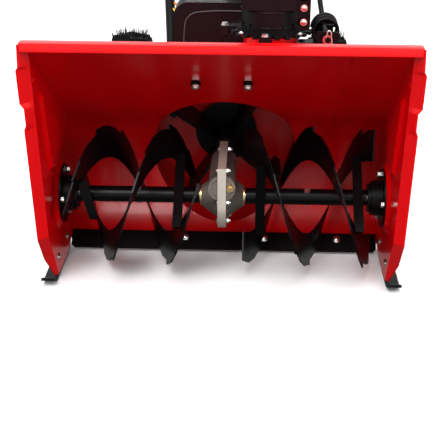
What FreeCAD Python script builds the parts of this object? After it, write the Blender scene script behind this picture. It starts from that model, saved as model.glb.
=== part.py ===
"""Two-stage walk-behind snow blower, in millimetres.

+Z is up, -Y is forward (the auger intake), +X is the right-hand side seen from the front.
The origin lies on the ground, under the middle of the wheel axle, which is also the middle
of the machine's length. Each function makes one named piece and returns its solids.
"""

import FreeCAD
import Part

import math
import os

V = FreeCAD.Vector
X_AXIS, Y_AXIS, Z_AXIS = V(1, 0, 0), V(0, 1, 0), V(0, 0, 1)

# ---------------------------------------------------------------- driving dimensions
OVERALL_LENGTH = 1370.0
SHEET = 3.0
RUN_GAP = 0.3          # clearance of a piece that turns or slides on another
SHAFT_GAP = 0.05       # radial clearance of a shaft in its bush

INTAKE_WIDTH = 690.0   # between the side plates
AUGER_REACH = 223.0    # lip in front of the auger shaft
AUGER_Z = 170.0
AUGER_R = 150.0
DRUM_R = 172.0
LIP_Z = 549.0
LIP_RISE = 19.0
LIP_REACH = 18.0
LIP_FLARE = 14.0
SKID_Z = 0.0

IMPELLER_RISE = 42.0   # worm shaft above the auger shaft
BARREL_R = 160.0
BARREL_BACK = 315.0    # back of the barrel behind the auger shaft
IMPELLER_R = 151.0

NECK_X = 98.0
NECK_BACK = 235.0
NECK_R = 60.0
NECK_TOP = 468.0

WHEEL_R = 200.0
TYRE_WIDTH = 105.0
TRACK = 485.0
AXLE_R = 9.5
RIM_R = 92.0

FRAME_WIDTH = 250.0
FRAME_LENGTH = 330.0
FRAME_BOTTOM = 118.0
FRAME_TOP = 320.0

CRANK_Z = 426.0        # engine crankshaft height
CRANK_PULLEY_R = 38.0
IMPELLER_PULLEY_R = 108.0

HANDLE_TUBE_R = 12.5
GRIP_Z = 930.0

# ---------------------------------------------------------------- places that follow
FRONT_Y = -OVERALL_LENGTH / 2
REAR_Y = OVERALL_LENGTH / 2
AUGER_Y = FRONT_Y + AUGER_REACH
SIDE_X = INTAKE_WIDTH / 2
IMPELLER_Z = AUGER_Z + IMPELLER_RISE
BARREL_BACK_Y = AUGER_Y + BARREL_BACK
NECK_Y = AUGER_Y + NECK_BACK
FRAME_FRONT_Y = BARREL_BACK_Y + 1.0
FRAME_BACK_Y = FRAME_FRONT_Y + FRAME_LENGTH
AXLE_Y = 0.0
AXLE_Z = WHEEL_R

# Belts and pulleys
BELT_WIDTH = 10.0
BELT_T = 10.0
DRIVE_PULLEY_R = 45.0
PULLEY_Y = BARREL_BACK_Y + 46.0
DRIVE_BELT_Y = PULLEY_Y + 31.0
FRAME_WALL_Y = PULLEY_Y + 41.0
COVER_FRONT_Y = PULLEY_Y - 27.0
COVER_TOP_Z = 506.0
ENGINE_FRONT_Y = FRAME_WALL_Y + 10.0
ENGINE_BACK_Y = ENGINE_FRONT_Y + 190.0

# Friction drive
PLATE_R = 56.0
PLATE_Z = 258.0
PLATE_FACE_Y = FRAME_WALL_Y + 16.0
FRICTION_R = 46.0
HEX_Y = PLATE_FACE_Y + FRICTION_R + RUN_GAP
HEX_Z = PLATE_Z
PINION_TEETH, GEAR_TEETH = 10, 30
GEAR_MODULE = 2 * math.hypot(HEX_Y - AXLE_Y, HEX_Z - AXLE_Z) / (PINION_TEETH + GEAR_TEETH)
REDUCTION_X = -107.0
LUG_HEIGHT = 14.0
LUGS = 22

# Chute and its worm
RING_R, RING_T = 93.0, 7.0
NOTCHES, NOTCH_DEPTH, NOTCH_WIDTH = 24, 8.0, 13.0
KEEPER_ANGLES = (262.0, 180.0, 60.0)
CHUTE_HALF = 65.0
COLLAR_TOP = 530.0
CHUTE_MOUTH_Z = 620.0
CHUTE_BEND_Z = 650.0
CHUTE_TOP_Z = 820.0
WIRE_R = 4.0
CRANK_THROW = 60.0
WORM_COIL_R = 31.0
WORM_PITCH = 2 * math.pi * (RING_R - 1) / NOTCHES
WORM_TURNS = 3
WORM_PHASE = 0.0
WORM_X = NECK_X + RING_R + WORM_COIL_R - 5.0
WORM_Z = NECK_TOP + RING_T / 2
WORM_FRONT = NECK_Y - 74.0
WORM_BACK = NECK_Y + 44.0
BALL_R = 7.0
ROD_FOOT = (WORM_X, WORM_BACK + 22.0, WORM_Z)
ROD_HEAD = (138.0, 548.0, 990.0)

# Handles
HANDLE_X = 228.0
LEVER_Y, LEVER_Z = 528.0, GRIP_Z + 30.0
SPEED_X = -60.0
SPEED_PIVOT = (490.0, 826.0)
SPEED_LEAN = 8.0
RECOIL = (56.0, ENGINE_BACK_Y + 22.0)


# ---------------------------------------------------------------- shape helpers
def box(x0, x1, y0, y1, z0, z1):
    return Part.makeBox(x1 - x0, y1 - y0, z1 - z0, V(x0, y0, z0))


def cylinder(radius, start, end):
    """A round bar from the point start to the point end."""
    a, b = V(*start), V(*end)
    return Part.makeCylinder(radius, (b - a).Length, a, b - a)


def cone(radius_a, radius_b, start, end):
    a, b = V(*start), V(*end)
    return Part.makeCone(radius_a, radius_b, (b - a).Length, a, b - a)


def pipe(outer, inner, start, end):
    return cylinder(outer, start, end).cut(cylinder(inner, start, end))


def polygon(points):
    return Part.makePolygon([V(*p) for p in points] + [V(*points[0])])


def slab_x(points, x0, x1):
    """A (y, z) outline extruded across X."""
    face = Part.Face(polygon([(x0, y, z) for y, z in points]))
    return face.extrude(V(x1 - x0, 0, 0))


def slab_y(points, y0, y1):
    face = Part.Face(polygon([(x, y0, z) for x, z in points]))
    return face.extrude(V(0, y1 - y0, 0))


def slab_z(points, z0, z1):
    face = Part.Face(polygon([(x, y, z0) for x, y in points]))
    return face.extrude(V(0, 0, z1 - z0))


def loft(sections):
    """A ruled solid through closed outlines, each a list of points."""
    return Part.makeLoft([polygon(s) for s in sections], True, True)


def rounded(solid, radius, keep):
    """Fillets the edges that keep(edge) picks."""
    return solid.makeFillet(radius, [e for e in solid.Edges if keep(e)])


def along(edge, direction):
    """True if a straight edge runs along the direction."""
    if not isinstance(edge.Curve, Part.Line):
        return False
    return abs(edge.tangentAt(edge.FirstParameter).dot(direction)) > 0.999


def fuse(*solids):
    whole = solids[0]
    if len(solids) > 1:
        whole = whole.fuse(list(solids[1:]))
    return whole.removeSplitter()


def mirrored(solid):
    """The same piece on the other side of the machine."""
    return solid.mirror(V(0, 0, 0), X_AXIS)


def turned(solid, origin, axis, degrees):
    copy = solid.copy()
    copy.rotate(V(*origin), axis, degrees)
    return copy


def bent_tube(points, radius, bend, wall=None):
    """A round tube through points, with an arc of radius bend at each corner."""
    corners = [V(*p) for p in points]
    edges, start = [], corners[0]
    for before, corner, after in zip(corners, corners[1:], corners[2:]):
        u, w = (before - corner).normalize(), (after - corner).normalize()
        half = u.getAngle(w) / 2
        reach = bend / math.tan(half)
        middle = (u + w).normalize()
        centre = corner + middle * (bend / math.sin(half))
        arc_start, arc_end = corner + u * reach, corner + w * reach
        edges.append(Part.makeLine(start, arc_start))
        edges.append(Part.Arc(arc_start, centre - middle * bend, arc_end).toShape())
        start = arc_end
    edges.append(Part.makeLine(start, corners[-1]))
    path = Part.Wire(edges)
    direction = corners[1] - corners[0]

    def swept(r):
        ring = Part.Wire(Part.makeCircle(r, corners[0], direction))
        return path.makePipeShell([ring], True, False)

    whole = swept(radius)
    return whole.cut(swept(radius - wall)) if wall else whole


def bolt(head, tip, radius, head_radius, head_height):
    """A round-headed bolt: its head sits at head and its shank runs to tip."""
    a, b = V(*head), V(*tip)
    out = (a - b).normalize()
    ball = (head_radius ** 2 + head_height ** 2) / (2 * head_height)
    centre = a - out * (ball - head_height)
    edge = math.degrees(math.asin((ball - head_height) / ball))
    return fuse(cylinder(radius, tip, head), Part.makeSphere(ball, centre, out, edge, 90, 360))


def hexagon(start, end, across):
    """A hexagonal nut or head between two points."""
    a, b = V(*start), V(*end)
    axis = b - a
    side = axis.cross(Z_AXIS if abs(axis.normalize().z) < 0.9 else X_AXIS).normalize()
    r = across / math.sqrt(3)
    ring = []
    for k in range(6):
        turn = FreeCAD.Rotation(axis, 60.0 * k)
        ring.append(a + turn.multVec(side) * r)
    face = Part.Face(Part.makePolygon(ring + [ring[0]]))
    return face.extrude(b - a)


# ---------------------------------------------------------------- auger housing
def roof_tangent(radius):
    """Angle, from +Y, at which the roof leaves the drum's arc."""
    y, z = LIP_REACH - AUGER_REACH, LIP_Z - LIP_RISE - AUGER_Z
    return math.atan2(z, y) - math.acos(radius / math.hypot(y, z))


FLOOR_ANGLE = math.radians(-60)


def drum_point(radius, angle):
    return (0, AUGER_Y + radius * math.cos(angle), AUGER_Z + radius * math.sin(angle))


def drum_path(radius):
    """The drum's edge in side view: roof line, then the arc down to the scraper."""
    top = roof_tangent(DRUM_R)
    out = radius - DRUM_R
    lip = V(0, FRONT_Y + LIP_REACH + out * math.cos(top), LIP_Z - LIP_RISE + out * math.sin(top))
    start, end = V(*drum_point(radius, top)), V(*drum_point(radius, FLOOR_ANGLE))
    middle = V(*drum_point(radius, (top + FLOOR_ANGLE) / 2))
    return [Part.makeLine(lip, start), Part.Arc(start, middle, end).toShape()], lip, end


def drum_filling(radius):
    """The whole space in front of the drum's skin, for cutting other pieces back to it."""
    edges, lip, end = drum_path(radius)
    front = V(0, FRONT_Y - 100, lip.z)
    low = V(0, FRONT_Y - 100, end.z)
    loop = edges + [Part.makeLine(end, low), Part.makeLine(low, front), Part.makeLine(front, lip)]
    face = Part.Face(Part.Wire(loop))
    face.translate(V(-SIDE_X - 50, 0, 0))
    return face.extrude(V(INTAKE_WIDTH + 100, 0, 0))


def drum_sheet(inner, outer, half_width):
    a, lip_a, end_a = drum_path(inner)
    b, lip_b, end_b = drum_path(outer)
    loop = a + [Part.makeLine(end_a, end_b)] + b[::-1] + [Part.makeLine(lip_b, lip_a)]
    face = Part.Face(Part.Wire(Part.__sortEdges__(loop)))
    face.translate(V(-half_width, 0, 0))
    return face.extrude(V(2 * half_width, 0, 0))


def lip_flange():
    """The flared strip along the roof's front edge, mitred at its ends."""
    inner_y, inner_z = FRONT_Y + LIP_REACH, LIP_Z - LIP_RISE
    wide = SIDE_X + LIP_FLARE
    length = math.hypot(LIP_REACH, LIP_RISE)
    normal = V(0, LIP_RISE / length, LIP_REACH / length) * SHEET
    ring = [
        V(-SIDE_X, inner_y, inner_z),
        V(SIDE_X, inner_y, inner_z),
        V(wide, FRONT_Y, LIP_Z),
        V(-wide, FRONT_Y, LIP_Z),
    ]
    face = Part.Face(Part.makePolygon(ring + [ring[0]]))
    hem_z = LIP_Z + normal.z
    hem = box(-wide, wide, FRONT_Y + normal.y, FRONT_Y + 22, hem_z - SHEET, hem_z)
    return fuse(face.extrude(normal), hem)


RIB_X = 240.0
RIB_WIDTH = 6.0


def drum_ribs():
    """The two pressed creases that stand inside the drum."""
    ribs = []
    for side in (-1, 1):
        rib = drum_sheet(DRUM_R - 1.5, DRUM_R, RIB_WIDTH / 2)
        rib.translate(V(side * RIB_X, 0, 0))
        ribs.append(rib)
    return ribs


def auger_housing():
    """Drum, roof and lip in one sheet, with two pressed creases and the impeller opening."""
    sheet = drum_sheet(DRUM_R, DRUM_R + SHEET, SIDE_X)
    whole = fuse(sheet, lip_flange(), *drum_ribs())
    opening = cylinder(BARREL_R, (0, AUGER_Y - 40, IMPELLER_Z), (0, BARREL_BACK_Y, IMPELLER_Z))
    return whole.cut([opening] + scraper_bolt_holes()).removeSplitter()


def impeller_barrel():
    """Round housing of the impeller, with its back plate and the neck that the chute stands on."""
    z = IMPELLER_Z
    outer = BARREL_R + SHEET
    shell = pipe(outer, BARREL_R, (0, AUGER_Y - 40, z), (0, BARREL_BACK_Y, z))
    back = cylinder(outer, (0, BARREL_BACK_Y - SHEET, z), (0, BARREL_BACK_Y, z))
    neck = pipe(NECK_R, NECK_R - SHEET, (NECK_X, NECK_Y, z), (NECK_X, NECK_Y, NECK_TOP))
    collar = pipe(NECK_R + 16, NECK_R - SHEET, (NECK_X, NECK_Y, NECK_TOP - 4), (NECK_X, NECK_Y, NECK_TOP))
    hole = cylinder(NECK_R - SHEET, (NECK_X, NECK_Y, z), (NECK_X, NECK_Y, NECK_TOP))
    shaft_hole = cylinder(BUSH_R, (0, BARREL_BACK_Y - 10, z), (0, BARREL_BACK_Y + 1, z))
    neck = neck.cut(cylinder(outer, (0, AUGER_Y, z), (0, BARREL_BACK_Y + 5, z)))
    drum = fuse(shell.cut(hole), back.cut(shaft_hole), neck, collar)
    return [drum.cut(drum_filling(DRUM_R + SHEET)), barrel_bearing()]


# The side plate's outline, as (distance behind the auger shaft, height).
PLATE_LIP = (LIP_REACH - AUGER_REACH, LIP_Z - LIP_RISE)
PLATE_KNEE = (-148.0, 136.0)
PLATE_CHIN = (-108.0, 72.0)
PLATE_TIP = (-78.0, 16.0)
BOSS_R = 77.0
FLANGE_R = 62.0
BOSS_RISE = 7.0
CUTTER_HOLES = [(-182.0, 473.0), (-73.0, 387.0)]
CUTTER_HOLE_R = 4.25
SKID_BOLTS = [(-66.0, 51.0), (40.0, 51.0)]


def plate_edge(z):
    """How far behind the auger shaft the side plate's straight front edge is at a height."""
    (y0, z0), (y1, z1) = PLATE_LIP, PLATE_KNEE
    return y0 + (y1 - y0) * (z - z0) / (z1 - z0)


def plate_face(x):
    """The flat side plate, a little proud of the drum's skin all round its back."""
    top = roof_tangent(DRUM_R)
    back = DRUM_R + SHEET + 6
    rise = back - DRUM_R
    lip = V(x, AUGER_Y + PLATE_LIP[0], PLATE_LIP[1])
    crest = lip + V(0, math.cos(top), math.sin(top)) * rise
    low = math.radians(-50)
    arc = [V(x, *drum_point(back, a)[1:]) for a in (top, (top + low) / 2, low)]
    corners = [(48, 12), (-44, 12), PLATE_TIP, PLATE_CHIN, PLATE_KNEE]
    rest = [V(x, AUGER_Y + y, z) for y, z in corners] + [lip]
    edges = [Part.makeLine(lip, crest), Part.makeLine(crest, arc[0]), Part.Arc(*arc).toShape()]
    for a, b in zip([arc[2]] + rest, rest):
        edges.append(Part.makeLine(a, b))
    return Part.Face(Part.Wire(edges))


def side_flange():
    """The side plate's flared front edge: wavy along the top, plain down to the tip."""
    stations = [
        (PLATE_LIP, LIP_REACH, LIP_FLARE),
        ((plate_edge(506), 506), 18, 16.0),
        ((plate_edge(500), 500), 18, 20.0),
        ((plate_edge(434), 434), 17, 20.0),
        ((plate_edge(424), 424), 17, 13.0),
        ((plate_edge(390), 390), 17, 13.0),
        ((plate_edge(380), 380), 17, 17.0),
        (PLATE_KNEE, 16, 17.0),
        (PLATE_CHIN, 14, 16.0),
        (PLATE_TIP, 6, 5.0),
    ]
    sections = []
    for k, ((y, z), reach, flare) in enumerate(stations):
        y, top = AUGER_Y + y, z
        front_z = LIP_Z if k == 0 else z
        sections.append([
            (SIDE_X, y, top),
            (SIDE_X + flare, y - reach, front_z),
            (SIDE_X + flare + SHEET, y - reach, front_z),
            (SIDE_X + SHEET, y, top),
        ])
    return fuse(*[loft([a, b]) for a, b in zip(sections, sections[1:])])


def pressed(plate, low, high, rise):
    """Presses a region of the right side plate inwards, keeping the sheet's thickness."""
    def frustum(x):
        return loft([[(x, AUGER_Y + y, z) for y, z in low], [(x - rise, AUGER_Y + y, z) for y, z in high]])
    return plate.fuse(frustum(SIDE_X)).cut(frustum(SIDE_X + SHEET))


def side_plate_right():
    plate = plate_face(SIDE_X).extrude(V(SHEET, 0, 0))
    low = [(-152, 430), (-136, 436), (10, 330), (14, 276), (-70, 246), (-104, 262)]
    high = [(-140, 421), (-131, 424), (0, 326), (4, 282), (-68, 256), (-94, 266)]
    plate = pressed(plate, low, high, 7.0)
    hub = (0, AUGER_Y, AUGER_Z)
    step = cone(BOSS_R, FLANGE_R + 3, (SIDE_X, *hub[1:]), (SIDE_X - BOSS_RISE, *hub[1:]))
    dish = cone(BOSS_R, FLANGE_R + 3, (SIDE_X + SHEET, *hub[1:]), (SIDE_X + SHEET - BOSS_RISE, *hub[1:]))
    plate = plate.fuse(step).cut(dish)
    plate = fuse(plate, side_flange())
    holes = [cylinder(CUTTER_HOLE_R, (SIDE_X - 9, AUGER_Y + y, z), (SIDE_X + 9, AUGER_Y + y, z))
             for y, z in CUTTER_HOLES]
    holes += [cylinder(4.2, (SIDE_X - 9, AUGER_Y + y, z), (SIDE_X + 9, AUGER_Y + y, z)) for y, z in SKID_BOLTS]
    holes.append(cylinder(HUB_R + 0.1, (SIDE_X - 20, *hub[1:]), (SIDE_X + 20, *hub[1:])))
    holes += [cylinder(4.2, (SIDE_X - 20, y, z), (SIDE_X + 20, y, z)) for y, z in flange_bolt_places()]
    return plate.cut(holes)


HUB_R = 20.0
FLANGE_BOLT_R = 52.0
CUP_DEPTH = 33.0
FLANGE_FACE_X = SIDE_X - BOSS_RISE


def flange_bolt_places():
    places = []
    for degrees in (52, 172, 292):
        a = math.radians(degrees)
        places.append((AUGER_Y + FLANGE_BOLT_R * math.cos(a), AUGER_Z + FLANGE_BOLT_R * math.sin(a)))
    return places


def bearing_flange_right():
    """Bolted plate with the cup that holds the auger shaft's bush."""
    y, z = AUGER_Y, AUGER_Z
    face = FLANGE_FACE_X
    plate = cylinder(FLANGE_R, (face - 4, y, z), (face, y, z))
    cup = cylinder(36, (face - CUP_DEPTH + 7, y, z), (face - 4, y, z))
    collar = cylinder(30, (face - CUP_DEPTH, y, z), (face - CUP_DEPTH + 7, y, z))
    rib = cylinder(38, (face - 17, y, z), (face - 10, y, z))
    spigot = cylinder(HUB_R, (face, y, z), (face + BOSS_RISE + 6, y, z))
    bore = cylinder(SHAFT_R + SHAFT_GAP, (face - 50, y, z), (face + 20, y, z))
    holes = [cylinder(4.2, (face - 5, by, bz), (face + 1, by, bz)) for by, bz in flange_bolt_places()]
    return fuse(plate, cup, collar, rib, spigot).cut([bore] + holes)


SCRAPER_LENGTH = 46.0
SCRAPER_LAP = 22.0     # how far the bar lies on the floor
SCRAPER_T = 5.0
SCRAPER_SLOPE = math.radians(33.75)
SCRAPER_BOLT_BACK = 7.0
SCRAPER_BOLT_X = [-255.0, -86.0, 92.0, 255.0]


def scraper_line():
    """End of the floor, the bar's direction down its face and the normal below it."""
    end = drum_path(DRUM_R)[2]
    down = V(0, -math.cos(SCRAPER_SLOPE), -math.sin(SCRAPER_SLOPE))
    return end, down, V(0, -down.z, down.y)


def scraper_bolt_holes():
    end, down, under = scraper_line()
    seat = end - down * SCRAPER_BOLT_BACK
    return [cylinder(4.2, (x, *(seat - under * 20)[1:]), (x, *(seat + under * 20)[1:])) for x in SCRAPER_BOLT_X]


def scraper_bar():
    """Flat bar bolted on the end of the floor, with its lower corners cut off."""
    end, down, under = scraper_line()
    half, corner = SIDE_X - 2, 8.0
    top, bottom = end - down * SCRAPER_LAP, end + down * (SCRAPER_LENGTH - SCRAPER_LAP)
    shoulder = bottom - down * corner
    ring = [
        V(-half, top.y, top.z), V(half, top.y, top.z), V(half, shoulder.y, shoulder.z),
        V(half - corner, bottom.y, bottom.z), V(-half + corner, bottom.y, bottom.z),
        V(-half, shoulder.y, shoulder.z),
    ]
    flat = Part.Face(Part.makePolygon(ring + [ring[0]]))
    bar = flat.extrude(under * -SCRAPER_T)
    return bar.cut([drum_sheet(DRUM_R, DRUM_R + 2 * SHEET, SIDE_X)] + drum_ribs() + scraper_bolt_holes())


SKID_BOTTOM_T = 6.0


def skid_right():
    """Bolt-on shoe: an upright plate on the side plate's outside and a turned-up foot."""
    x0 = SIDE_X + SHEET
    upright = slab_x([(AUGER_Y - 70, 10), (AUGER_Y + 84, 10), (AUGER_Y + 84, 50), (AUGER_Y + 66, 72),
                      (AUGER_Y - 98, 72), (AUGER_Y - 87, 50), (AUGER_Y - 71, 18)], x0, x0 + 5)
    sole = [(AUGER_Y - 112, 16), (AUGER_Y - 80, 0), (AUGER_Y + 70, 0), (AUGER_Y + 98, 14),
            (AUGER_Y + 96, 20), (AUGER_Y + 67, SKID_BOTTOM_T), (AUGER_Y - 77, SKID_BOTTOM_T),
            (AUGER_Y - 110, 22)]
    foot = slab_x(sole, x0, x0 + 28)
    heel = slab_x([(AUGER_Y - 90, 5), (AUGER_Y + 78, 5), (AUGER_Y + 84, 12), (AUGER_Y - 96, 12)], x0, x0 + 5)
    slots = [box(x0 - 1, x0 + 6, AUGER_Y + y - 4.3, AUGER_Y + y + 4.3, z - 12, z + 12) for y, z in SKID_BOLTS]
    return fuse(upright, foot, heel).cut(slots)


ROOF_BOLT_X = 50.0


def housing_bolts():
    """Carriage bolts of the scraper, skids and bearing flanges, and the roof's two long nuts."""
    parts = []
    end, down, under = scraper_line()
    seat = end - down * SCRAPER_BOLT_BACK
    for x in SCRAPER_BOLT_X:
        head = V(x, seat.y, seat.z) - under * SCRAPER_T
        tip = head + under * (SCRAPER_T + SHEET + 12)
        parts.append(bolt(tuple(head), tuple(tip), 3.9, 9, 4.5))
    for side in (-1, 1):
        for y, z in SKID_BOLTS:
            a = (side * SIDE_X, AUGER_Y + y, z)
            b = (side * (SIDE_X + 20), AUGER_Y + y, z)
            nut = hexagon((side * (SIDE_X + 8.0), AUGER_Y + y, z), (side * (SIDE_X + 15), AUGER_Y + y, z), 13)
            parts.append(fuse(bolt(a, b, 3.9, 9, 4.5), nut))
        for y, z in flange_bolt_places():
            a = (side * (FLANGE_FACE_X - 4), y, z)
            b = (side * (FLANGE_FACE_X + 12), y, z)
            head = hexagon((side * (FLANGE_FACE_X - 10), y, z), a, 12)
            parts.append(fuse(cylinder(3.9, b, a), head))
    slope = roof_tangent(DRUM_R)
    seat = roof_point(ROOF_BOLT_BACK)
    normal = V(0, math.cos(slope), math.sin(slope))
    for side in (-1, 1):
        at = V(side * ROOF_BOLT_X, seat[0], seat[1])
        nut = cylinder(9, tuple(at - normal * 18), tuple(at))
        stud = cylinder(5.5, tuple(at - normal * 21), tuple(at - normal * 18))
        parts.append(fuse(nut, stud))
    return parts


ROOF_BOLT_BACK = -100.0


def roof_point(back):
    """(y, z) on the roof's underside, a distance behind the auger shaft."""
    top = roof_tangent(DRUM_R)
    start = drum_point(DRUM_R, top)
    slope = math.cos(top) / math.sin(top)
    y = AUGER_Y + back
    return y, start[2] + (start[1] - y) * slope


# ---------------------------------------------------------------- auger, gearbox, impeller
SHAFT_R = 9.5
TUBE_R = 17.0
GEARBOX_HALF = 44.0
SEAL_T = 3.0
TUBE_IN = GEARBOX_HALF + SEAL_T + 2
TUBE_OUT = SIDE_X - BOSS_RISE - CUP_DEPTH - 2
RIBBON_WIDTH = 72.0
RIBBON_T = 3.5
RIBBON_PITCH = 250.0
RIBBON_IN, RIBBON_OUT = 45.0, 314.0
TEETH_PER_TURN = 7
TOOTH_DEPTH = 11.0
FACETS_PER_TOOTH = 3
ARM_WIDTH, ARM_T = 20.0, 5.0
ARM_LAP = 13.0         # how far an arm reaches over its ribbon
ARMS_LEFT = [(92.0, -1), (284.0, 1)]     # place along the shaft, and the side of the tube it passes
ARMS_RIGHT = [(80.0, 1), (284.0, 1)]
LEFT_START, RIGHT_START = 147.5, 54.0    # angle at which the first ribbon starts


def ribbon_angle(x, start):
    return math.radians(start + 360.0 * (x - RIBBON_IN) / RIBBON_PITCH)


def ribbon(start):
    """A helical strip of flat facets, whose outer edge rises along each tooth and drops at its end."""
    turns = (RIBBON_OUT - RIBBON_IN) / RIBBON_PITCH
    teeth = turns * TEETH_PER_TURN
    solids = []
    for tooth in range(math.ceil(teeth)):
        sections = []
        for step in range(FACETS_PER_TOOTH + 1):
            share = step / FACETS_PER_TOOTH
            x = RIBBON_IN + (RIBBON_OUT - RIBBON_IN) * min(1.0, (tooth + share) / teeth)
            outer_r = AUGER_R - TOOTH_DEPTH * (1 - share)
            section = ribbon_section(x, ribbon_angle(x, start), outer_r)
            if not sections or section[0] != sections[-1][0]:
                sections.append(section)
        solids.append(loft(sections))
    return solids


def ribbon_section(x, angle, outer_r):
    c, s = math.cos(angle), math.sin(angle)
    inner_r, half = AUGER_R - RIBBON_WIDTH, RIBBON_T / 2
    return [(x + dx, AUGER_Y + r * c, AUGER_Z + r * s)
            for dx, r in ((-half, inner_r), (-half, outer_r), (half, outer_r), (half, inner_r))]


def arm(x, side, start):
    """A flat bar past one side of the tube, from one ribbon to the other."""
    reach = AUGER_R - RIBBON_WIDTH + ARM_LAP
    near = side * (TUBE_R - 1)
    bar = box(x - ARM_WIDTH / 2, x + ARM_WIDTH / 2, AUGER_Y - reach, AUGER_Y + reach,
              AUGER_Z + min(near, near + side * ARM_T), AUGER_Z + max(near, near + side * ARM_T))
    return turned(bar, (0, AUGER_Y, AUGER_Z), X_AXIS, math.degrees(ribbon_angle(x, start)))


def auger(start, arms):
    """One rake, on the right of the machine: a tube on the shaft and two toothed ribbons on flat arms."""
    tube = pipe(TUBE_R, SHAFT_R + SHAFT_GAP, (TUBE_IN, AUGER_Y, AUGER_Z), (TUBE_OUT, AUGER_Y, AUGER_Z))
    bars = [arm(x, side, start) for x, side in arms]
    return fuse(tube, *ribbon(start), *ribbon(start + 180), *bars).cut(shear_bolt_hole())


SHEAR_X = 178.0
SHEAR_R = 3.2


SHEAR_ANGLE = math.radians(-60)


def shear_bolt_hole():
    d = V(0, math.cos(SHEAR_ANGLE), math.sin(SHEAR_ANGLE))
    c = V(SHEAR_X, AUGER_Y, AUGER_Z)
    return cylinder(SHEAR_R + 0.1, tuple(c - d * 40), tuple(c + d * 40))


def auger_left():
    return mirrored(auger(LEFT_START, ARMS_LEFT))


def auger_right():
    return auger(RIGHT_START, ARMS_RIGHT)


def auger_shaft():
    reach = SIDE_X + 4
    shaft = cylinder(SHAFT_R, (-reach, AUGER_Y, AUGER_Z), (reach, AUGER_Y, AUGER_Z))
    hole = shear_bolt_hole()
    return shaft.cut([hole, mirrored(hole)])


def shear_bolts():
    d = V(0, math.cos(SHEAR_ANGLE), math.sin(SHEAR_ANGLE))
    parts = []
    for x in (-SHEAR_X, SHEAR_X):
        c = V(x, AUGER_Y, AUGER_Z)
        head = hexagon(tuple(c - d * TUBE_R), tuple(c - d * (TUBE_R + 6)), 12)
        nut = hexagon(tuple(c + d * TUBE_R), tuple(c + d * (TUBE_R + 7)), 12)
        parts.append(fuse(cylinder(SHEAR_R, tuple(c - d * TUBE_R), tuple(c + d * (TUBE_R + 9))), head, nut))
    return parts


WORM_R = 13.0
WORM_ROOT_R = 10.5
WHEEL_TEETH = 20
SNOUT_R = 28.0
SNOUT_BACK = 96.0
NOSE_FRONT = 64.0      # front of the snout's round nose, ahead of the auger shaft
NOSE_GROOVE = (22.5, 19.5)
GEAR_FACE = 14.0
FLANGE_T = 9.0
CASE_WALL = 11.0
FLANGE_RISE = 4.0      # the split flange beyond the nose
SNOUT_FLANGE = 17.0    # the split flange above and below the snout
CASE_HALF = 14.0
CLAMP_R = 3.2
PLUG_X, PLUG_Z = 17.0, IMPELLER_Z + 2.0
PLUG_BOSS_R, PLUG_BOSS_RISE = 7.4, 6.0


def gear_tip_r():
    return IMPELLER_RISE - WORM_ROOT_R - 1.2


def gearbox_right():
    """Right half of the split case: rounded body, boss to the auger shaft, half of the snout."""
    y, z = AUGER_Y, AUGER_Z
    flange_r = NOSE_FRONT + FLANGE_RISE
    flange = fuse(cylinder(flange_r, (0, y, z), (FLANGE_T, y, z)),
                  box(0, FLANGE_T, y - flange_r, y + SNOUT_BACK, z, IMPELLER_Z + SNOUT_R + SNOUT_FLANGE))
    case_r = gear_tip_r() + CASE_WALL + 2
    case = cylinder(case_r, (0, y, z), (CASE_HALF, y, z))
    boss = cone(case_r, 22, (CASE_HALF, y, z), (GEARBOX_HALF, y, z))
    snout = cylinder(SNOUT_R, (0, y - NOSE_FRONT, IMPELLER_Z), (0, y + SNOUT_BACK, IMPELLER_Z))
    web = box(0, 20, y - 34, y + 34, z, IMPELLER_Z)
    half = box(0, 200, y - 300, y + 300, 0, 600)
    groove = pipe(*NOSE_GROOVE, (0, y - NOSE_FRONT - 1, IMPELLER_Z), (0, y - NOSE_FRONT + 2.5, IMPELLER_Z))
    body = fuse(flange, case, boss, snout.common(half).cut(groove), web)
    gear_room = cylinder(gear_tip_r() + 2, (-1, y, z), (GEAR_FACE / 2 + 2, y, z))
    worm_room = cylinder(WORM_R + 2, (0, y - 44, IMPELLER_Z), (0, y + 44, IMPELLER_Z))
    worm_bore = cylinder(SHAFT_R + SHAFT_GAP, (0, y - 58, IMPELLER_Z), (0, y + 200, IMPELLER_Z))
    shaft_bore = cylinder(SHAFT_R + SHAFT_GAP, (-1, y, z), (200, y, z))
    holes = [cylinder(CLAMP_R + 0.1, (-1, by, bz), (40, by, bz)) for by, bz in gearbox_bolt_places()]
    return body.cut([gear_room, worm_room, worm_bore, shaft_bore] + holes)


def gearbox_left():
    return mirrored(gearbox_right())


def gearbox_bolt_places():
    """Round the case below, and in the snout's flange above and below."""
    r = NOSE_FRONT + FLANGE_RISE - 11
    places = []
    for degrees in (172, 224, 290, 335):
        a = math.radians(degrees)
        places.append((AUGER_Y + r * math.cos(a), AUGER_Z + r * math.sin(a)))
    high, low = IMPELLER_Z + SNOUT_R + 9, IMPELLER_Z - SNOUT_R - 7
    return places + [(AUGER_Y - 57, high), (AUGER_Y + 67, high), (AUGER_Y + 82, low)]


def gearbox_bolts():
    """Round heads on the left, nuts with a stub of thread on the right."""
    parts = []
    for y, z in gearbox_bolt_places():
        screw = bolt((-FLANGE_T, y, z), (FLANGE_T + 9, y, z), CLAMP_R, 6.2, 5.4)
        nut = hexagon((FLANGE_T, y, z), (FLANGE_T + 5.5, y, z), 10)
        parts.append(fuse(screw, nut))
    return parts


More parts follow.
